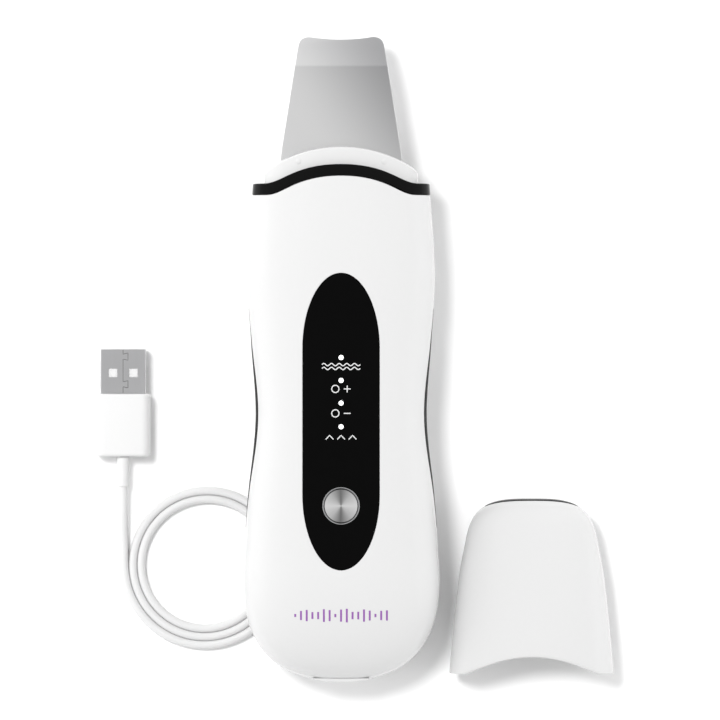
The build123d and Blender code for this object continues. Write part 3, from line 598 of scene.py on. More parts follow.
def section_power(y, side):
    """How square the section is: the rear is a soft V at the chin and rounder at the nose."""
    return FRONT_POWER if side > 0 else 1.55 + 0.85 * min(1.0, max(0.0, (y - 8) / 44))


def body_point(angle, y, side, proud=0.0):
    """Point of the outer form: angle 0 is the right-hand seam, pi the left-hand one."""
    n = section_power(y, side)
    depth = depth_at(y, side) + proud
    x = (half_width(y) + proud) * squared(math.cos(angle), 2 / n)
    z = PARTING_Z + side * depth * abs(math.sin(angle)) ** (2 / n)
    return (x, y, max(z, 0.0))


def front_z(x, y):
    share = min(1.0, abs(x) / half_width(y))
    return PARTING_Z + depth_at(y, 1) * (1 - share**FRONT_POWER) ** (1 / FRONT_POWER)


def rear_z(x, y):
    n = section_power(y, -1)
    share = min(1.0, abs(x) / half_width(y))
    return max(PARTING_Z - depth_at(y, -1) * max(0.0, 1 - share**n) ** (1 / n), 0)


print("front at the waist", round(front_z(0.0, 0.0), 2), "rear", round(rear_z(0.0, 0.0), 2))

# %% Arch of the shoulder
ARCH_STATIONS = ((0.0, 1.0, 0.0), (13.94, 0.45, -0.0889), (20.5, 0.0, 0.0))


def arch(x, side_y, rise):
    """Wavy edge of the shoulder: a broad arch that runs out level at the sides."""
    first, middle, last = ARCH_STATIONS
    reach = min(last[0], abs(x))
    low, high = (first, middle) if reach < middle[0] else (middle, last)
    h = high[0] - low[0]
    t = (reach - low[0]) / h
    share = (2 * t**3 - 3 * t**2 + 1) * low[1] + (3 * t**2 - 2 * t**3) * high[1]
    share += h * ((t**3 - 2 * t**2 + t) * low[2] + (t**3 - t**2) * high[2])
    return side_y + rise * share


print("arch ends", ARCH_STATIONS[-1][0], "mm from the middle")

# %% [markdown]
# ## Front shell
# The front shell is a glossy moulding with an oval pocket for the control panel. The pocket could be
# cut with a boolean, but that leaves uneven faces that show in the gloss. So one line of points runs
# round the oval: in each row the points start at the pocket's edge and go out to the seam. Rows
# follow the ellipse's own angle at the pocket's ends, so that the oval stays round.

# %% Rows round the pocket
PANEL_HALF_WIDTH, PANEL_TOP_Y, PANEL_BOTTOM_Y, PANEL_END = 10.05, 38.0, -39.7, 19.7
END_ROWS, STRAIGHT_ROWS = 26, 16


def oval_rows(grow):
    """(y, half width of the oval) from its lower to its upper end."""
    wide, end = PANEL_HALF_WIDTH + grow, PANEL_END + grow
    low_mid, high_mid = PANEL_BOTTOM_Y + PANEL_END, PANEL_TOP_Y - PANEL_END
    rows = []
    for k in range(END_ROWS + 1):
        a = math.pi / 2 * k / END_ROWS
        rows.append((low_mid - end * math.cos(a), wide * math.sin(a)))
    for k in range(1, STRAIGHT_ROWS):
        rows.append((low_mid + (high_mid - low_mid) * k / STRAIGHT_ROWS, wide))
    for k in range(END_ROWS + 1):
        a = math.pi / 2 * (1 - k / END_ROWS)
        rows.append((high_mid + end * math.cos(a), wide * math.sin(a)))
    return rows


print("rows round the pocket", len(oval_rows(0.0)))

# %% One row of the front shell
GAP = 0.10
SHELL_TOP_Y, BAND_RISE, BAND_HEIGHT = 58.5, 5.0, 3.1
SIDE_COLUMNS = 40


def front_row(y, pocket, top_share=None):
    """Left seam to right seam, split at the pocket; above the pocket, rows bend into the arch."""
    row = []
    start = math.acos(min(1.0, (pocket / half_width(y)) ** (FRONT_POWER / 2)))
    for side_x in (-1, 1):
        for k in range(SIDE_COLUMNS + 1):
            t = k / SIDE_COLUMNS
            a = start * (t if side_x < 0 else 1 - t)
            x, reach, z = body_point(a, y, 1)
            if top_share is not None:
                edge = arch(x, SHELL_TOP_Y, BAND_RISE)
                reach = PANEL_TOP_Y + GAP + (edge - PANEL_TOP_Y - GAP) * top_share
                x, reach, z = body_point(a, reach, 1)
            row.append((side_x * x, reach, z))
    return row


# %% Wall at the end of the chin
PORT_HALF_WIDTH, PORT_TOP_Z, PORT_FOOT_Z = 4.15, 15.0, 12.0


def chin_wall(first_row, edge_z):
    """Closes the chin's flat end down to the seam, and leaves the port's mouth open."""
    return [(x, y, edge_z if abs(x) < PORT_HALF_WIDTH else PARTING_Z) for x, y, _ in first_row]


# %% Front shell
CHIN_ROWS, TOP_ROWS = 22, 24
SHELL_RIM, SHELL_WALL = 0.22, 1.2
rows = [(chin_wall(front_row(CHIN_FLAT_Y, 0.0), PORT_TOP_Z), False)]
chin_end = PANEL_BOTTOM_Y - GAP
for k in range(CHIN_ROWS):
    a = math.pi / 2 * (1 - k / CHIN_ROWS)
    rows.append((front_row(chin_end - (chin_end - CHIN_FLAT_Y) * math.sin(a), 0.0), False))
pocket_rows = oval_rows(GAP)
for k, (y, pocket) in enumerate(pocket_rows):
    rows.append((front_row(y, max(pocket, 0.0)), 0 < k < len(pocket_rows) - 1))
for k in range(1, TOP_ROWS + 1):
    rows.append((front_row(PANEL_TOP_Y, 0.0, k / TOP_ROWS), False))
columns = 2 * (SIDE_COLUMNS + 1)
points = [p for row, _ in rows for p in row]
faces = []
for index, corners in enumerate(grid_faces(len(rows), columns)):
    r, c = divmod(index, columns - 1)
    in_pocket = c == SIDE_COLUMNS and (rows[r][1] or rows[r + 1][1])
    if not in_pocket:
        faces.append(corners)
front_shell = tidy_mesh(link_mesh("front_shell_skin", points, faces))
soften(front_shell, rim=SHELL_RIM, wall=SHELL_WALL)
finish_piece(front_shell, "handset", shell_white, ["front_shell"])

# %% [markdown]
# ## Rear shell
# The rear shell is one plain skin with a flattened back, on which the handset lies. The same formula
# makes it as the front, and a small gap along the seam keeps the two halves apart to the eye.


# %% Rear shell
REAR_CHIN_ROWS, REAR_ROWS = 24, 60
SEAM_GAP, BACK_LEVEL = 0.03, 0.1


def rear_row(y, share=None):
    """Left seam to right seam, lowered by the seam's gap where the shell is off the table."""
    row = []
    for k in range(2 * SIDE_COLUMNS + 1):
        a = math.pi * (1 - k / (2 * SIDE_COLUMNS))
        x, reach, z = body_point(a, y, -1)
        if share is not None:
            edge = arch(x, SHELL_TOP_Y, BAND_RISE)
            reach = CHIN_START_Y + (edge - CHIN_START_Y) * share
            x, reach, z = body_point(a, reach, -1)
        row.append((x, reach, z - SEAM_GAP if z > BACK_LEVEL else z))
    return row


rear_rows = [chin_wall(rear_row(CHIN_FLAT_Y), PORT_FOOT_Z)]
for k in range(REAR_CHIN_ROWS):
    a = math.pi / 2 * (1 - k / REAR_CHIN_ROWS)
    rear_rows.append(rear_row(CHIN_START_Y - (CHIN_START_Y - CHIN_FLAT_Y) * math.sin(a)))
rear_rows += [rear_row(0.0, k / REAR_ROWS) for k in range(REAR_ROWS + 1)]
rear_shell = grid_piece("rear_shell_skin", rear_rows)
soften(rear_shell, rim=SHELL_RIM, wall=SHELL_WALL)

# %% [markdown]
# ## Screw wells
# Four screws hold the casing, each at the foot of a round well in the back. Rows of points can't
# follow a round hole, and the back is hardly seen, so here a boolean cuts the holes. A thin sleeve
# then lines each one down to the screw's seat.


# %% Wells cut out of the rear shell
CASE_SCREWS = [(x, y) for y in (44.0, -50.0) for x in (-14.5, 14.5)]
WELL_R, SCREW_HOLE_R, SEAT_Z = 2.1, 0.96, PARTING_Z - 2.6
CUTTER_LENGTH, CUTTER_MID_Z = 14, 4.0
WELL_SIDES = 40


def cut_away(piece, cutter, angle):
    """Takes the cutter's form out of the piece, drops the cutter and shades the piece again."""
    cut = piece.modifiers.new("cut", "BOOLEAN")
    cut.operation = "DIFFERENCE"
    cut.object = cutter
    cut.solver = "EXACT"
    apply_modifiers(piece)
    bpy.data.objects.remove(cutter)
    piece.data.shade_smooth()
    piece.data.set_sharp_from_angle(angle=math.radians(angle))


def well_cutter():
    """Four round bars where the screw wells go."""
    work = bmesh.new()
    for x, y in CASE_SCREWS:
        made = bmesh.ops.create_cone(work, cap_ends=True, segments=WELL_SIDES, radius1=WELL_R * MM,
                                     radius2=WELL_R * MM, depth=CUTTER_LENGTH * MM)
        bmesh.ops.translate(work, verts=made["verts"], vec=Vector((x, y, CUTTER_MID_Z)) * MM)
    mesh = bpy.data.meshes.new("well_cutter")
    work.to_mesh(mesh)
    work.free()
    cutter = bpy.data.objects.new("well_cutter", mesh)
    bpy.context.scene.collection.objects.link(cutter)
    return cutter


cut_away(rear_shell, well_cutter(), 40)
finish_piece(rear_shell, "handset", shell_white, ["rear_shell"])


# %% Sleeves of the screw wells
SLEEVE_START, SLEEVE_WALL = 0.25, 0.4


def sleeve_rows(x, y):
    """From just inside the back up to the seat, in to the screw's hole, and a little way up it."""
    profile = ((WELL_R, None), (WELL_R, SEAT_Z), (SCREW_HOLE_R, SEAT_Z), (SCREW_HOLE_R, SEAT_Z + 0.6))
    rows = []
    for radius, z in profile:
        ring = []
        for k in range(WELL_SIDES):
            a = 2 * math.pi * k / WELL_SIDES
            px, py = x + radius * math.cos(a), y + radius * math.sin(a)
            ring.append((px, py, rear_z(px, py) + SLEEVE_START if z is None else z))
        rows.append(ring)
    return rows


for index, (x, y) in enumerate(CASE_SCREWS):
    sleeve = grid_piece(f"screw_well_{index + 1}", sleeve_rows(x, y), wrap=True)
    soften(sleeve, rim=0.0, wall=-SLEEVE_WALL)
    finish_piece(sleeve, "handset", shell_white)

# %% [markdown]
# ## Control panel
# A glossy black plate that follows the crown of the shell. It is built on the same rows as the
# pocket, without the gap, so the two fit all round, and its edge is slightly rounded. The button
# travels through a round hole in it. That hole hides under the button's ring, so a boolean may cut it.


# %% Turned parts
def turned(name, profile, centre, segments=96, close=True):
    """Spins (radius, z) points round an upright axis."""
    rows = []
    for radius, z in profile:
        ring = []
        for k in range(segments):
            a = 2 * math.pi * k / segments
            ring.append((centre[0] + radius * math.cos(a), centre[1] + radius * math.sin(a), z))
        rows.append(ring)
    if not close:
        rows.append(rows[0])
    piece = grid_piece(name, rows, wrap=True, close_first=close, close_last=close)
    piece.data.shade_smooth()
    piece.data.set_sharp_from_angle(angle=math.radians(35))
    return piece


# %% Panel plate
PANEL_CELLS, PANEL_RIM, PANEL_WALL = 40, 0.12, 1.0
RING_R, BORE_CLEARANCE = 4.9, 0.05


def panel_row(y, wide):
    xs = [wide * (2 * c / PANEL_CELLS - 1) for c in range(PANEL_CELLS + 1)]
    return [(x, y, front_z(x, y)) for x in xs]


panel = grid_piece("control_panel_plate", [panel_row(y, wide) for y, wide in oval_rows(0.0)])
soften(panel, rim=PANEL_RIM, wall=PANEL_WALL)
bore_r = RING_R + BORE_CLEARANCE
bore = turned("panel_bore", [(bore_r, 10.0), (bore_r, 40.0)], (0.0, BUTTON_Y))
cut_away(panel, bore, 35)
finish_piece(panel, "handset", panel_black, ["control_panel"])

# %% [markdown]
# ## Button
# The button is a shallow spun dish in a thin ring, both of bright metal. Turned parts could use the
# Screw modifier. A spun profile of points does the same, and its middle lands exactly where the
# finish has its centre.

# %% Button dish
BUTTON_R = 4.3
panel_top = front_z(0.0, BUTTON_Y)
DISH = [(2.0, -2.1), (2.0, -0.85), (BUTTON_R, -0.85), (BUTTON_R, 0.2), (4.28, 0.31), (4.2, 0.35),
        (4.05, 0.33), (3.75, 0.26), (3.0, 0.19), (1.5, 0.12), (0.02, 0.10)]
button = turned("button_dish", [(r, panel_top + z) for r, z in DISH], (0.0, BUTTON_Y))
finish_piece(button, "button", spun_steel, ["button_cap"])

# %% Ring round the button
SURROUND = [(4.4, -1.2), (4.4, -0.3), (4.62, -0.05), (4.62, 0.12), (4.68, 0.18), (4.84, 0.18),
            (RING_R, 0.1), (RING_R, -1.2)]
ring = turned("button_surround", [(r, panel_top + z) for r, z in SURROUND], (0.0, BUTTON_Y), close=False)
finish_piece(ring, "handset", ring_metal, ["button_ring"])

# %% [markdown]
# ## Signal lamps
# Four light guides end in small domed windows in the panel. A flat white dot would read the same from
# above, but the low dome catches the light from the side. The first lamp stands in for the guides.

# %% Signal lamps
LAMP_YS = (15.9, 9.9, 4.0, -2.2)
LAMP_DOME = [(0.65, -0.9), (0.65, 0.02), (0.5, 0.07), (0.02, 0.09)]
for index, y in enumerate(LAMP_YS):
    top = front_z(0.0, y)
    lamp = turned(f"signal_lamp_{index + 1}", [(r, top + z) for r, z in LAMP_DOME], (0.0, y), segments=40)
    finish_piece(lamp, "handset", lamp_window, ["light_guides"] if index == 0 else ())

# %% [markdown]
# ## Printed signs
# Thin raised ink on the panel. A painted texture would need a drawing of its own. Here each sign is a
# few strokes of even width that follow the crown. They are plain signs for the four programmes: a
# wave for cleansing, plus and minus for the current, and chevrons for lifting.


# %% Stroke helper
def face_towards(piece, direction):
    """Turns over each face that looks away from a direction."""
    work = bmesh.new()
    work.from_mesh(piece.data)
    away = [f for f in work.faces if f.normal.dot(Vector(direction)) < 0]
    bmesh.ops.reverse_faces(work, faces=away)
    work.to_mesh(piece.data)
    work.free()


def stroke_piece(name, strokes, width, lift, surface, thickness=0.03):
    """Joins line strokes, given as (x, y) chains, into one flat print on the surface."""
    points, faces = [], []
    for chain in strokes:
        closed = chain[0] == chain[-1]
        body = chain[:-1] if closed else chain
        rails = []
        for i, here in enumerate(body):
            before = body[i - 1] if closed or i else here
            after = body[(i + 1) % len(body)] if closed or i < len(body) - 1 else here
            along = Vector((after[0] - before[0], after[1] - before[1])).normalized()
            side = Vector((-along.y, along.x)) * width / 2
            rails.append((Vector(here) + side, Vector(here) - side))
        start = len(points)
        for left, right in rails:
            points.append((left.x, left.y, surface(left.x, left.y) + lift))
            points.append((right.x, right.y, surface(right.x, right.y) + lift))
        count = len(rails)
        for i in range(count if closed else count - 1):
            a, b = start + 2 * i, start + 2 * ((i + 1) % count)
            faces.append((a, a + 1, b + 1, b))
    piece = link_mesh(name, points, faces)
    face_towards(piece, (0, 0, 1))
    return soften(piece, rim=0.0, wall=thickness)


# %% Strokes
def circle_chain(x, y, radius, count=28):
    angles = [2 * math.pi * k / count for k in range(count)]
    chain = [(x + radius * math.cos(a), y + radius * math.sin(a)) for a in angles]
    return chain + [chain[0]]


def wave_chain(x0, x1, y, height, waves, count=60):
    shares = [k / count for k in range(count + 1)]
    return [(x0 + (x1 - x0) * t, y + height * math.sin(2 * math.pi * waves * t)) for t in shares]


def line_chain(x0, y0, x1, y1, count=4):
    return [(x0 + (x1 - x0) * k / count, y0 + (y1 - y0) * k / count) for k in range(count + 1)]


# %% Four signs under the lamps
SIGN_YS = (13.6, 7.7, 1.3, -4.8)
STROKE, INK_LIFT = 0.26, 0.025
DOT_X, DOT_R = -1.5, 0.95
wave_sign = [wave_chain(-5.0, 5.0, SIGN_YS[0] + 0.45, 0.32, 5),
             wave_chain(-5.0, 5.0, SIGN_YS[0] - 0.55, 0.32, 5)]
plus_sign = [circle_chain(DOT_X, SIGN_YS[1], DOT_R), line_chain(0.7, SIGN_YS[1], 2.5, SIGN_YS[1]),
             line_chain(1.6, SIGN_YS[1] - 0.9, 1.6, SIGN_YS[1] + 0.9)]
minus_sign = [circle_chain(DOT_X, SIGN_YS[2], DOT_R), line_chain(0.7, SIGN_YS[2], 2.5, SIGN_YS[2])]
lift_sign = []
for x in (-3.0, 0.0, 3.0):
    lift_sign.append(line_chain(x - 1.0, SIGN_YS[3] - 0.7, x, SIGN_YS[3] + 0.35, 3) +
                     line_chain(x, SIGN_YS[3] + 0.35, x + 1.0, SIGN_YS[3] - 0.7, 3)[1:])
for name, strokes in (("cleanse_sign", wave_sign), ("plus_sign", plus_sign), ("minus_sign", minus_sign),
                      ("lift_sign", lift_sign)):
    sign = stroke_piece(name, strokes, STROKE, INK_LIFT, front_z)
    finish_piece(sign, "handset", print_white)

# %% [markdown]
# ## Ripple print
# A purple print crosses the shell above the chin. It is a plain row of bars that swell and shrink
# like a sound wave, and a sine gives their heights.

# %% Purple ripple print near the chin
RIPPLE_Y, RIPPLE_HALF_WIDTH, RIPPLE_BARS, RIPPLE_STROKE = -51.6, 12.0, 17, 0.5
BAR_STEP = 2 * RIPPLE_HALF_WIDTH / (RIPPLE_BARS - 1)
ripple = []
for k in range(RIPPLE_BARS):
    x = -RIPPLE_HALF_WIDTH + BAR_STEP * k
    reach = 0.4 + 1.5 * abs(math.sin(k * 0.9)) * (1 - 0.35 * abs(x) / RIPPLE_HALF_WIDTH)
    ripple.append(line_chain(x, RIPPLE_Y - reach, x, RIPPLE_Y + reach))
ripple_print = stroke_piece("ripple_print", ripple, RIPPLE_STROKE, INK_LIFT, front_z)
finish_piece(ripple_print, "handset", print_purple)

# %% [markdown]
# ## Shoulder band
# A black ring between the shells and the nose. It could be cut from a thicker casing, but its edges
# wave in two directions. So its profile, a small rectangle, is carried round the section, and both
# edges follow the arch.

# %% Points round the nose
COLLAR_HALF_WIDTH, COLLAR_FRONT, COLLAR_REAR = 20.2, 7.9, 5.0
COLLAR_POWER = 2.5
RING_COLUMNS = 160


def ring_angles(count=RING_COLUMNS):
    return [2 * math.pi * k / count for k in range(count)]


def collar_point(angle, y, grow=0.0):
    c, s = math.cos(angle), math.sin(angle)
    depth = (COLLAR_FRONT if s >= 0 else COLLAR_REAR) + grow
    x = (COLLAR_HALF_WIDTH + grow) * squared(c, 2 / COLLAR_POWER)
    return (x, y, PARTING_Z + depth * squared(s, 2 / COLLAR_POWER))


# %% Band ring
BAND_GAP, BAND_PROUD, COLLAR_CLEARANCE = 0.08, 0.05, 0.06


def band_point(angle, share, proud=0.0):
    side = 1 if math.sin(angle) >= 0 else -1
    turn = angle if side > 0 else 2 * math.pi - angle
    x = body_point(turn, SHELL_TOP_Y, side, proud)[0]
    reach = arch(x, SHELL_TOP_Y + BAND_GAP, BAND_RISE) + (BAND_HEIGHT - BAND_GAP) * share
    return body_point(turn, reach, side, proud)


def inner_band_point(angle, share):
    x, _, z = collar_point(angle, 0.0, COLLAR_CLEARANCE)
    return (x, band_point(angle, share)[1], z)


band_rows = [[band_point(a, share, BAND_PROUD) for a in ring_angles()] for share in (0.0, 0.35, 0.7, 1.0)]
band_rows += [[inner_band_point(a, share) for a in ring_angles()] for share in (1.0, 0.0)]
band_rows.append(band_rows[0])
band = grid_piece("shoulder_band_ring", band_rows, wrap=True)
soften(band, rim=0.35, angle=50)
finish_piece(band, "handset", band_black, ["shoulder_band"])

# %% [markdown]
# ## Nose collar
# The white nose stands out of the band. Its top is arched, its rim rounded, and a slot lets the
# blade out. Extruding and insetting would leave the arch to the hand. So rings of points shrink from
# the outer oval to the slot, and one grid makes it all.

# %% Top of the collar
COLLAR_SIDE_Y, COLLAR_APEX_Y = 64.7, 71.2
TOP_HALF_CHORD, TOP_HEIGHT = COLLAR_HALF_WIDTH + 1, COLLAR_APEX_Y - COLLAR_SIDE_Y + 0.6
TOP_RADIUS = (TOP_HALF_CHORD**2 + TOP_HEIGHT**2) / (2 * TOP_HEIGHT)


def collar_top(x):
    return COLLAR_APEX_Y - TOP_RADIUS + math.sqrt(TOP_RADIUS**2 - x**2)


print("collar top radius", round(TOP_RADIUS, 1))

# %% Slot for the blade
BLADE_Z = 15.0
SLOT_HALF_WIDTH, SLOT_HALF_HEIGHT, SLOT_DEPTH, SLOT_POWER = 17.0, 1.0, 2.5, 0.35


def slot_point(angle, drop):
    x = SLOT_HALF_WIDTH * squared(math.cos(angle), SLOT_POWER)
    z = BLADE_Z + SLOT_HALF_HEIGHT * squared(math.sin(angle), SLOT_POWER)
    return (x, collar_top(x) - drop, z)


def between(first, second, share):
    return tuple(a + (b - a) * share for a, b in zip(first, second))


# %% Nose collar
RIM, RIM_ROWS = 0.75, 6
COLLAR_FOOT_Y, COLLAR_WALL = 55.0, 1.6
collar_rows = [[collar_point(a, COLLAR_FOOT_Y, -COLLAR_WALL) for a in ring_angles()]]
for share in (0.0, 0.35, 0.7, 1.0):
    row = []
    for a in ring_angles():
        x, _, z = collar_point(a, 0.0)
        row.append((x, COLLAR_FOOT_Y + (collar_top(x) - RIM - COLLAR_FOOT_Y) * share, z))
    collar_rows.append(row)
for k in range(1, RIM_ROWS + 1):
    bend = math.pi / 2 * k / RIM_ROWS
    row = []
    for a in ring_angles():
        x, _, z = collar_point(a, 0.0, -RIM * (1 - math.cos(bend)))
        row.append((x, collar_top(x) - RIM * (1 - math.sin(bend)), z))
    collar_rows.append(row)
edge_row = collar_rows[-1]
slot_row = [slot_point(a, 0.0) for a in ring_angles()]
for share in (0.33, 0.66):
    collar_rows.append([between(edge, slot, share) for edge, slot in zip(edge_row, slot_row)])
collar_rows.append(slot_row)
collar_rows.append([slot_point(a, SLOT_DEPTH) for a in ring_angles()])
collar = grid_piece("nose_collar_skin", collar_rows, wrap=True, close_first=True, close_last=True)
collar.data.shade_smooth()
collar.data.set_sharp_from_angle(angle=math.radians(50))
finish_piece(collar, "handset", shell_white, ["nose_collar"])

# %% [markdown]
# ## Snap bumps
# Two low bumps on the collar hold the cap. Bumps in the collar's own grid would need many more rows,
# so each is a small turned dome that sinks into it.

# %% Snap bumps that hold the cap
BUMP_XS, BUMP_Y = (-10.9, 10.9), 67.3
BUMP_R, BUMP_DOME, BUMP_SINK, BUMP_ROWS = 1.05, 0.42, 0.3, 8
for index, x in enumerate(BUMP_XS):
    share = abs(x) / COLLAR_HALF_WIDTH
    surface = PARTING_Z + COLLAR_FRONT * (1 - share**COLLAR_POWER) ** (1 / COLLAR_POWER)
    dome = []
    for k in range(BUMP_ROWS):
        t = math.pi / 2 * k / BUMP_ROWS
        dome.append((BUMP_R * math.cos(t), surface - BUMP_SINK + BUMP_DOME * math.sin(t)))
    dome.append((0.01, surface - BUMP_SINK + BUMP_DOME))
    bump = turned(f"snap_bump_{index + 1}", dome, (x, BUMP_Y), segments=32)
    finish_piece(bump, "handset", shell_white)

# %% [markdown]
# ## Blade
# The blade is a stamped plate, bent near its tip. Its shape comes from the frame; what it lacks is
# the fine rounding of a ground edge. A bevel on the frame's own node would change the frame, so a
# copy gets every hard edge rounded and is shown in its place.


# %% Detailed copies of plain nodes
def refined(node, rim, angle=30.0, segments=3):
    """A copy of a plain node: flat faces joined up, then every hard edge rounded."""
    piece = bpy.data.objects.new(node + "_finished", nodes[node].data.copy())
    bpy.context.scene.collection.objects.link(piece)
    piece.data.materials.clear()
    work = bmesh.new()
    work.from_mesh(piece.data)
    bmesh.ops.remove_doubles(work, verts=work.verts, dist=0.000004)
    bmesh.ops.dissolve_limit(work, angle_limit=math.radians(1.0), verts=work.verts, edges=work.edges)
    work.to_mesh(piece.data)
    work.free()
    return soften(piece, rim, segments, angle, flat=True)


# %% Blade
blade = refined("spatula_blade", 0.2, angle=20.0)
finish_piece(blade, "handset", blade_steel, ["spatula_blade"])

# %% [markdown]
# ## Side strips
# A dark lens-shaped contact is let into each flank, across the seam. A flat lens pressed onto the
# flank would stand off at its ends. So each strip is a patch of the body's own surface, lifted by a
# hair and given a wall.

# %% Point on the flank
STRIP_HALF_LENGTH, STRIP_HALF_HEIGHT, STRIP_PROUD = 28.8, 3.6, 0.07


def strip_surface(y, height, side_x):
    """Point on the flank at a given height above or below the seam."""
    side = 1 if height >= 0 else -1
    n = section_power(y, side)
    share = min(1.0, abs(height) / depth_at(y, side))
    x = half_width(y) * (1 - share**n) ** (1 / n) + STRIP_PROUD
    return (side_x * x, y, PARTING_Z + height)


# %% Side strips
STRIP_ROWS, STRIP_CELLS = 60, 14
strip_radius = (STRIP_HALF_LENGTH**2 + STRIP_HALF_HEIGHT**2) / (2 * STRIP_HALF_HEIGHT)
for side_x, word in ((-1, "left"), (1, "right")):
    strip_rows = []
    for k in range(STRIP_ROWS + 1):
        y = STRIP_HALF_LENGTH * math.sin(math.pi * (k / STRIP_ROWS - 0.5))
        tall = math.sqrt(max(0.0, strip_radius**2 - y**2)) - (strip_radius - STRIP_HALF_HEIGHT)
        heights = [tall * (2 * c / STRIP_CELLS - 1) for c in range(STRIP_CELLS + 1)]
        strip_rows.append([strip_surface(y, height, side_x) for height in heights])
    strip = grid_piece(f"side_strip_{word}", strip_rows)
    face_towards(strip, (side_x, 0, 0))
    soften(strip, rim=0.04, segments=2, wall=0.5)
    finish_piece(strip, "handset", strip_dark, [f"side_electrode_{word}"])

# %% [markdown]
# ## Cap
# The cap is a tapered shell with an arched mouth. Its width and depth close towards the top, where a
# black strip is let in. A boolean could cut the arch out of a plain shell, but then the rows would
# meet it at odd angles. So each ring of points is arched, more at the mouth and less at the top.

# %% Cap form
CAP_X, CAP_Y, CAP_HEIGHT, CAP_FRONT, CAP_REAR, CAP_WALL = 50.2, -67.4, 46.0, 9.5, 6.5, 1.3
CAP_WIDTHS = [(0, 21.7), (6, 21.2), (18, 20.05), (26, 19.1), (31, 18.2), (34, 17.6), (46, 15.44)]
WIDTH_CLOSE_FROM, DEPTH_CLOSE_FROM = 34.0, 38.0
CAP_WIDTH_POWER, CAP_DEPTH_POWER = 3.3, 2.6
MOUTH_HALF_WIDTH, MOUTH_RISE, MOUTH_POWER, MOUTH_FADE = 17.9, 4.55, 1.15, 24


def cap_close(h, power, start):
    t = min(1.0, max(0.0, (h - start) / (CAP_HEIGHT - start)))
    return (1 - t**power) ** (1 / power)


def cap_half_width(h):
    return smooth(CAP_WIDTHS, h) * cap_close(h, CAP_WIDTH_POWER, WIDTH_CLOSE_FROM)


def cap_depth(h, side):
    taper = CAP_FRONT - 3.4 * (h / CAP_HEIGHT) ** 1.6 if side > 0 else CAP_REAR
    return taper * cap_close(h, CAP_DEPTH_POWER, DEPTH_CLOSE_FROM)


def mouth_arch(x):
    t = min(1.0, abs(x) / MOUTH_HALF_WIDTH)
    return MOUTH_RISE * (1 - t**2) ** MOUTH_POWER


print("cap mouth", 2 * cap_half_width(0), "mm wide")


# %% Cap point
def cap_point(angle, h, half_wide, front, rear):
    c, s = math.cos(angle), math.sin(angle)
    x = half_wide * squared(c, 0.8)
    z = (front if s >= 0 else rear) * squared(s, 0.8)
    lift = mouth_arch(x) * max(0.0, 1 - h / MOUTH_FADE) ** 2
    return (CAP_X + x, CAP_Y + h + lift, CAP_REAR + z)


# %% Cap shell
cap_levels = [MOUTH_FADE * (k / 16) for k in range(17)]
cap_levels += [MOUTH_FADE + 10 * k / 6 for k in range(1, 7)]
CLOSE_ROWS = 22
for k in range(1, CLOSE_ROWS):
    closed = math.sin(math.pi / 2 * k / CLOSE_ROWS)
    cap_levels.append(WIDTH_CLOSE_FROM + (CAP_HEIGHT - WIDTH_CLOSE_FROM) * closed)
cap_levels.append(CAP_HEIGHT - 0.004)
cap_rows = []
for h in cap_levels:
    sizes = (cap_half_width(h), cap_depth(h, 1), cap_depth(h, -1))
    cap_rows.append([cap_point(a, h, *sizes) for a in ring_angles()])
cap = grid_piece("cap_shell_skin", cap_rows, wrap=True, close_last=True)
soften(cap, rim=0.35, wall=CAP_WALL)
finish_piece(cap, "blade_cap", cap_white, ["cap_shell"])

# %% [markdown]
# ## Cap strip
# A black strip is let into the cap's closed top. It has to follow that top, which has no formula of
# its own, so each point of the strip is laid on it by halving: is this height still inside the cap?


# %% Height of the cap's top
def cap_top_y(x, z):
    """Where the cap's closed top lies, at a place on it."""
    low, high = WIDTH_CLOSE_FROM, CAP_HEIGHT
    for _ in range(40):
        mid = (low + high) / 2
        wide, deep = cap_half_width(mid), cap_depth(mid, 1 if z >= 0 else -1)
        inside = (abs(x) / max(wide, 1e-6)) ** 2.5 + (abs(z) / max(deep, 1e-6)) ** 2.5 < 1
        low, high = (mid, high) if inside else (low, mid)
    return CAP_Y + low


# %% Cap strip
INLAY_HALF_WIDTH, INLAY_HALF_HEIGHT, INLAY_PROUD, INLAY_POWER = 12.4, 2.9, 0.12, 0.75
INLAY_RINGS, INLAY_COLUMNS = 10, 120
cap_strip_rows = []
for share in [k / INLAY_RINGS for k in range(1, INLAY_RINGS + 1)]:
    ring_points = []
    for a in ring_angles(INLAY_COLUMNS):
        x = INLAY_HALF_WIDTH * share * squared(math.cos(a), INLAY_POWER)
        z = INLAY_HALF_HEIGHT * share * squared(math.sin(a), INLAY_POWER)
        ring_points.append((CAP_X + x, cap_top_y(x, z) + INLAY_PROUD, CAP_REAR + z))
    cap_strip_rows.append(ring_points)
cap_strip = grid_piece("cap_top_strip_inlay", cap_strip_rows, wrap=True, close_first=True)
face_towards(cap_strip, (0, 1, 0))
soften(cap_strip, rim=0.1, segments=2, wall=0.7)
finish_piece(cap_strip, "blade_cap", band_black, ["cap_top_strip"])

# %% [markdown]
# ## Plugs
# Each plug is a metal shell, a moulded body and a strain relief. They are plain solids in the frame,
# and that is their true shape, so copies with softened edges are all they need.

# %% Plug bodies
PLUG_PARTS = (
    ("usb_plug_overmould", 0.25, 3, "plug_plastic", plug_white),
    ("usb_plug_shell", 0.12, 3, "plug_metal", plug_metal),
    ("usb_plug_relief", 0.08, 2, "plug_plastic", plug_white),
    ("micro_plug_overmould", 0.3, 3, "plug_plastic", plug_white),
    ("micro_plug_relief", 0.08, 2, "plug_plastic", plug_white),
    ("micro_plug_shell", 0.08, 2, "plug_metal", plug_metal),
)
for node, rim, segments, slot, material in PLUG_PARTS:
    plug_piece = refined(node, rim, segments=segments)
    finish_piece(plug_piece, "charging_lead", material, [node])

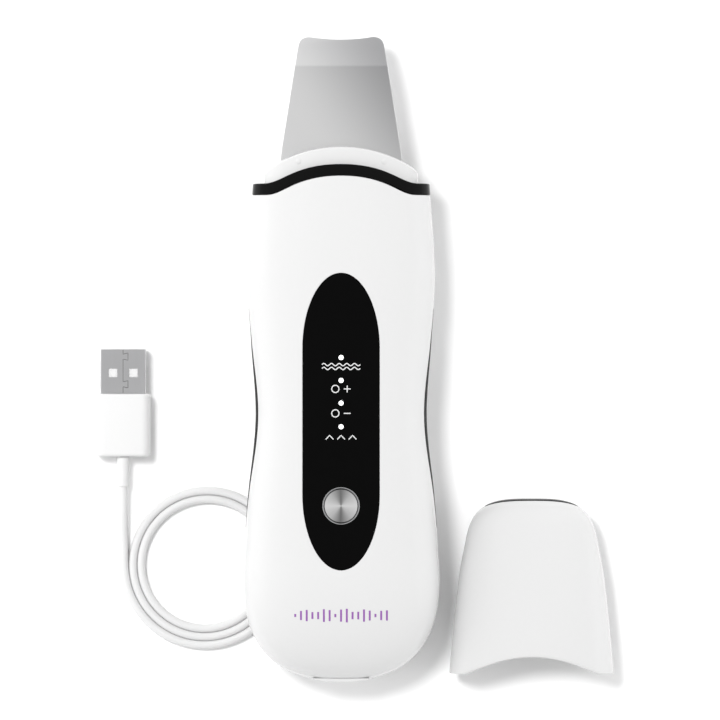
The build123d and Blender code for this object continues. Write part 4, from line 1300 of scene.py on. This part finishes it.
# %% [markdown]
# ## Seam of the large plug
# The plug's shell is folded from sheet, and its edges lock in two dovetails. A groove would have to
# be cut through a very thin wall, so the shade in the seam's gap is painted on as a hair-thin dark stroke.

# %% Seam of the folded shell
DOVETAIL, SEAM_STROKE, SEAM_LIFT, SEAM_THICKNESS = 1.3, 0.16, 0.012, 0.02
usb_low, usb_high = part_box("usb_plug_shell")
usb_y0, usb_y1, usb_top = usb_low.y / MM, usb_high.y / MM, usb_high.z / MM
# Painted shade: a dark stroke stands for the shadowed gap of the seam.
seam_painted_shade = plain_print("seam_painted_shade", (0.12, 0.12, 0.12), 0.6)
corners = [(0, usb_y1 - 0.25), (0, usb_y1 - 1.3), (DOVETAIL, usb_y1 - 1.0), (DOVETAIL, usb_y1 - 2.9),
           (0, usb_y1 - 2.6), (0, usb_y0 + 3.1), (DOVETAIL, usb_y0 + 3.4), (DOVETAIL, usb_y0 + 1.5),
           (0, usb_y0 + 1.8), (0, usb_y0 + 0.2)]
seam_chain = [(PLUG_X + corners[0][0], corners[0][1])]
for (x0, y0), (x1, y1) in zip(corners, corners[1:]):
    seam_chain += line_chain(PLUG_X + x0, y0, PLUG_X + x1, y1, 6)[1:]
seam = stroke_piece("plug_shell_seam", [seam_chain], SEAM_STROKE, SEAM_LIFT, lambda x, y: usb_top,
                    SEAM_THICKNESS)
finish_piece(seam, "charging_lead", seam_painted_shade)

# %% [markdown]
# ## The lead as one thing
# A cord is more than its curve: it has a length, two ends and the pieces that ride on it. The length
# of the drawn curve is measured and printed beside the length given for the lead.


def curve_length(piece):
    """Length of the curve itself, without its thickness."""
    bare = piece.data.copy()
    bare.bevel_depth = 0
    probe = bpy.data.objects.new("probe", bare)
    bpy.context.scene.collection.objects.link(probe)
    bpy.context.view_layer.update()
    mesh = bpy.data.meshes.new_from_object(probe)
    ends = [[mesh.vertices[i].co for i in edge.vertices] for edge in mesh.edges]
    bpy.data.objects.remove(probe)
    return sum((last - first).length for first, last in ends)


CORD_LENGTH = 0.405
print("cord measured", round(curve_length(cord), 4), "declared", CORD_LENGTH)
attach(cord, "charging_lead")
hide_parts("cord_coil", "cord_lead", "cord_tail")

# %% [markdown]
# ## Pieces kept from the frame
# The inner parts, the port cover and the small metal parts already have their real shape, and most
# of them never show. Building them again would add nothing, so they only get their finish.

# %% Finishes for the kept nodes
KEPT = {
    "blade_gasket": silicone_white, "blade_clamp": inner_plastic, "clamp_screws": screw_metal,
    "piezo_discs": ceramic_pale, "panel_adhesive": film_pale, "status_leds": lamp_window,
    "light_shield": foam_black, "switch_body": inner_plastic, "switch_plunger": inner_plastic,
    "main_board": board_green, "board_screws": screw_metal, "case_screws": screw_metal,
    "controller_chip": chip_black, "capacitors": foil_metal, "drive_transformer": ferrite_dark,
    "transformer_winding": copper_wire, "battery_cell": foil_metal, "battery_foam": foam_black,
    "charge_board": board_green, "charger_chip": chip_black, "usb_socket": plug_metal,
    "drive_wires": wire_red, "battery_wires": wire_red, "port_cover": silicone_white,
    "usb_plug_tongue": plug_white, "usb_plug_contacts": contact_gold,
}
for name, material in KEPT.items():
    mesh = nodes[name].data
    mesh.materials.clear()
    mesh.materials.append(material)
    mesh.shade_smooth()
    mesh.set_sharp_from_angle(angle=math.radians(35))
print("kept nodes", len(KEPT))
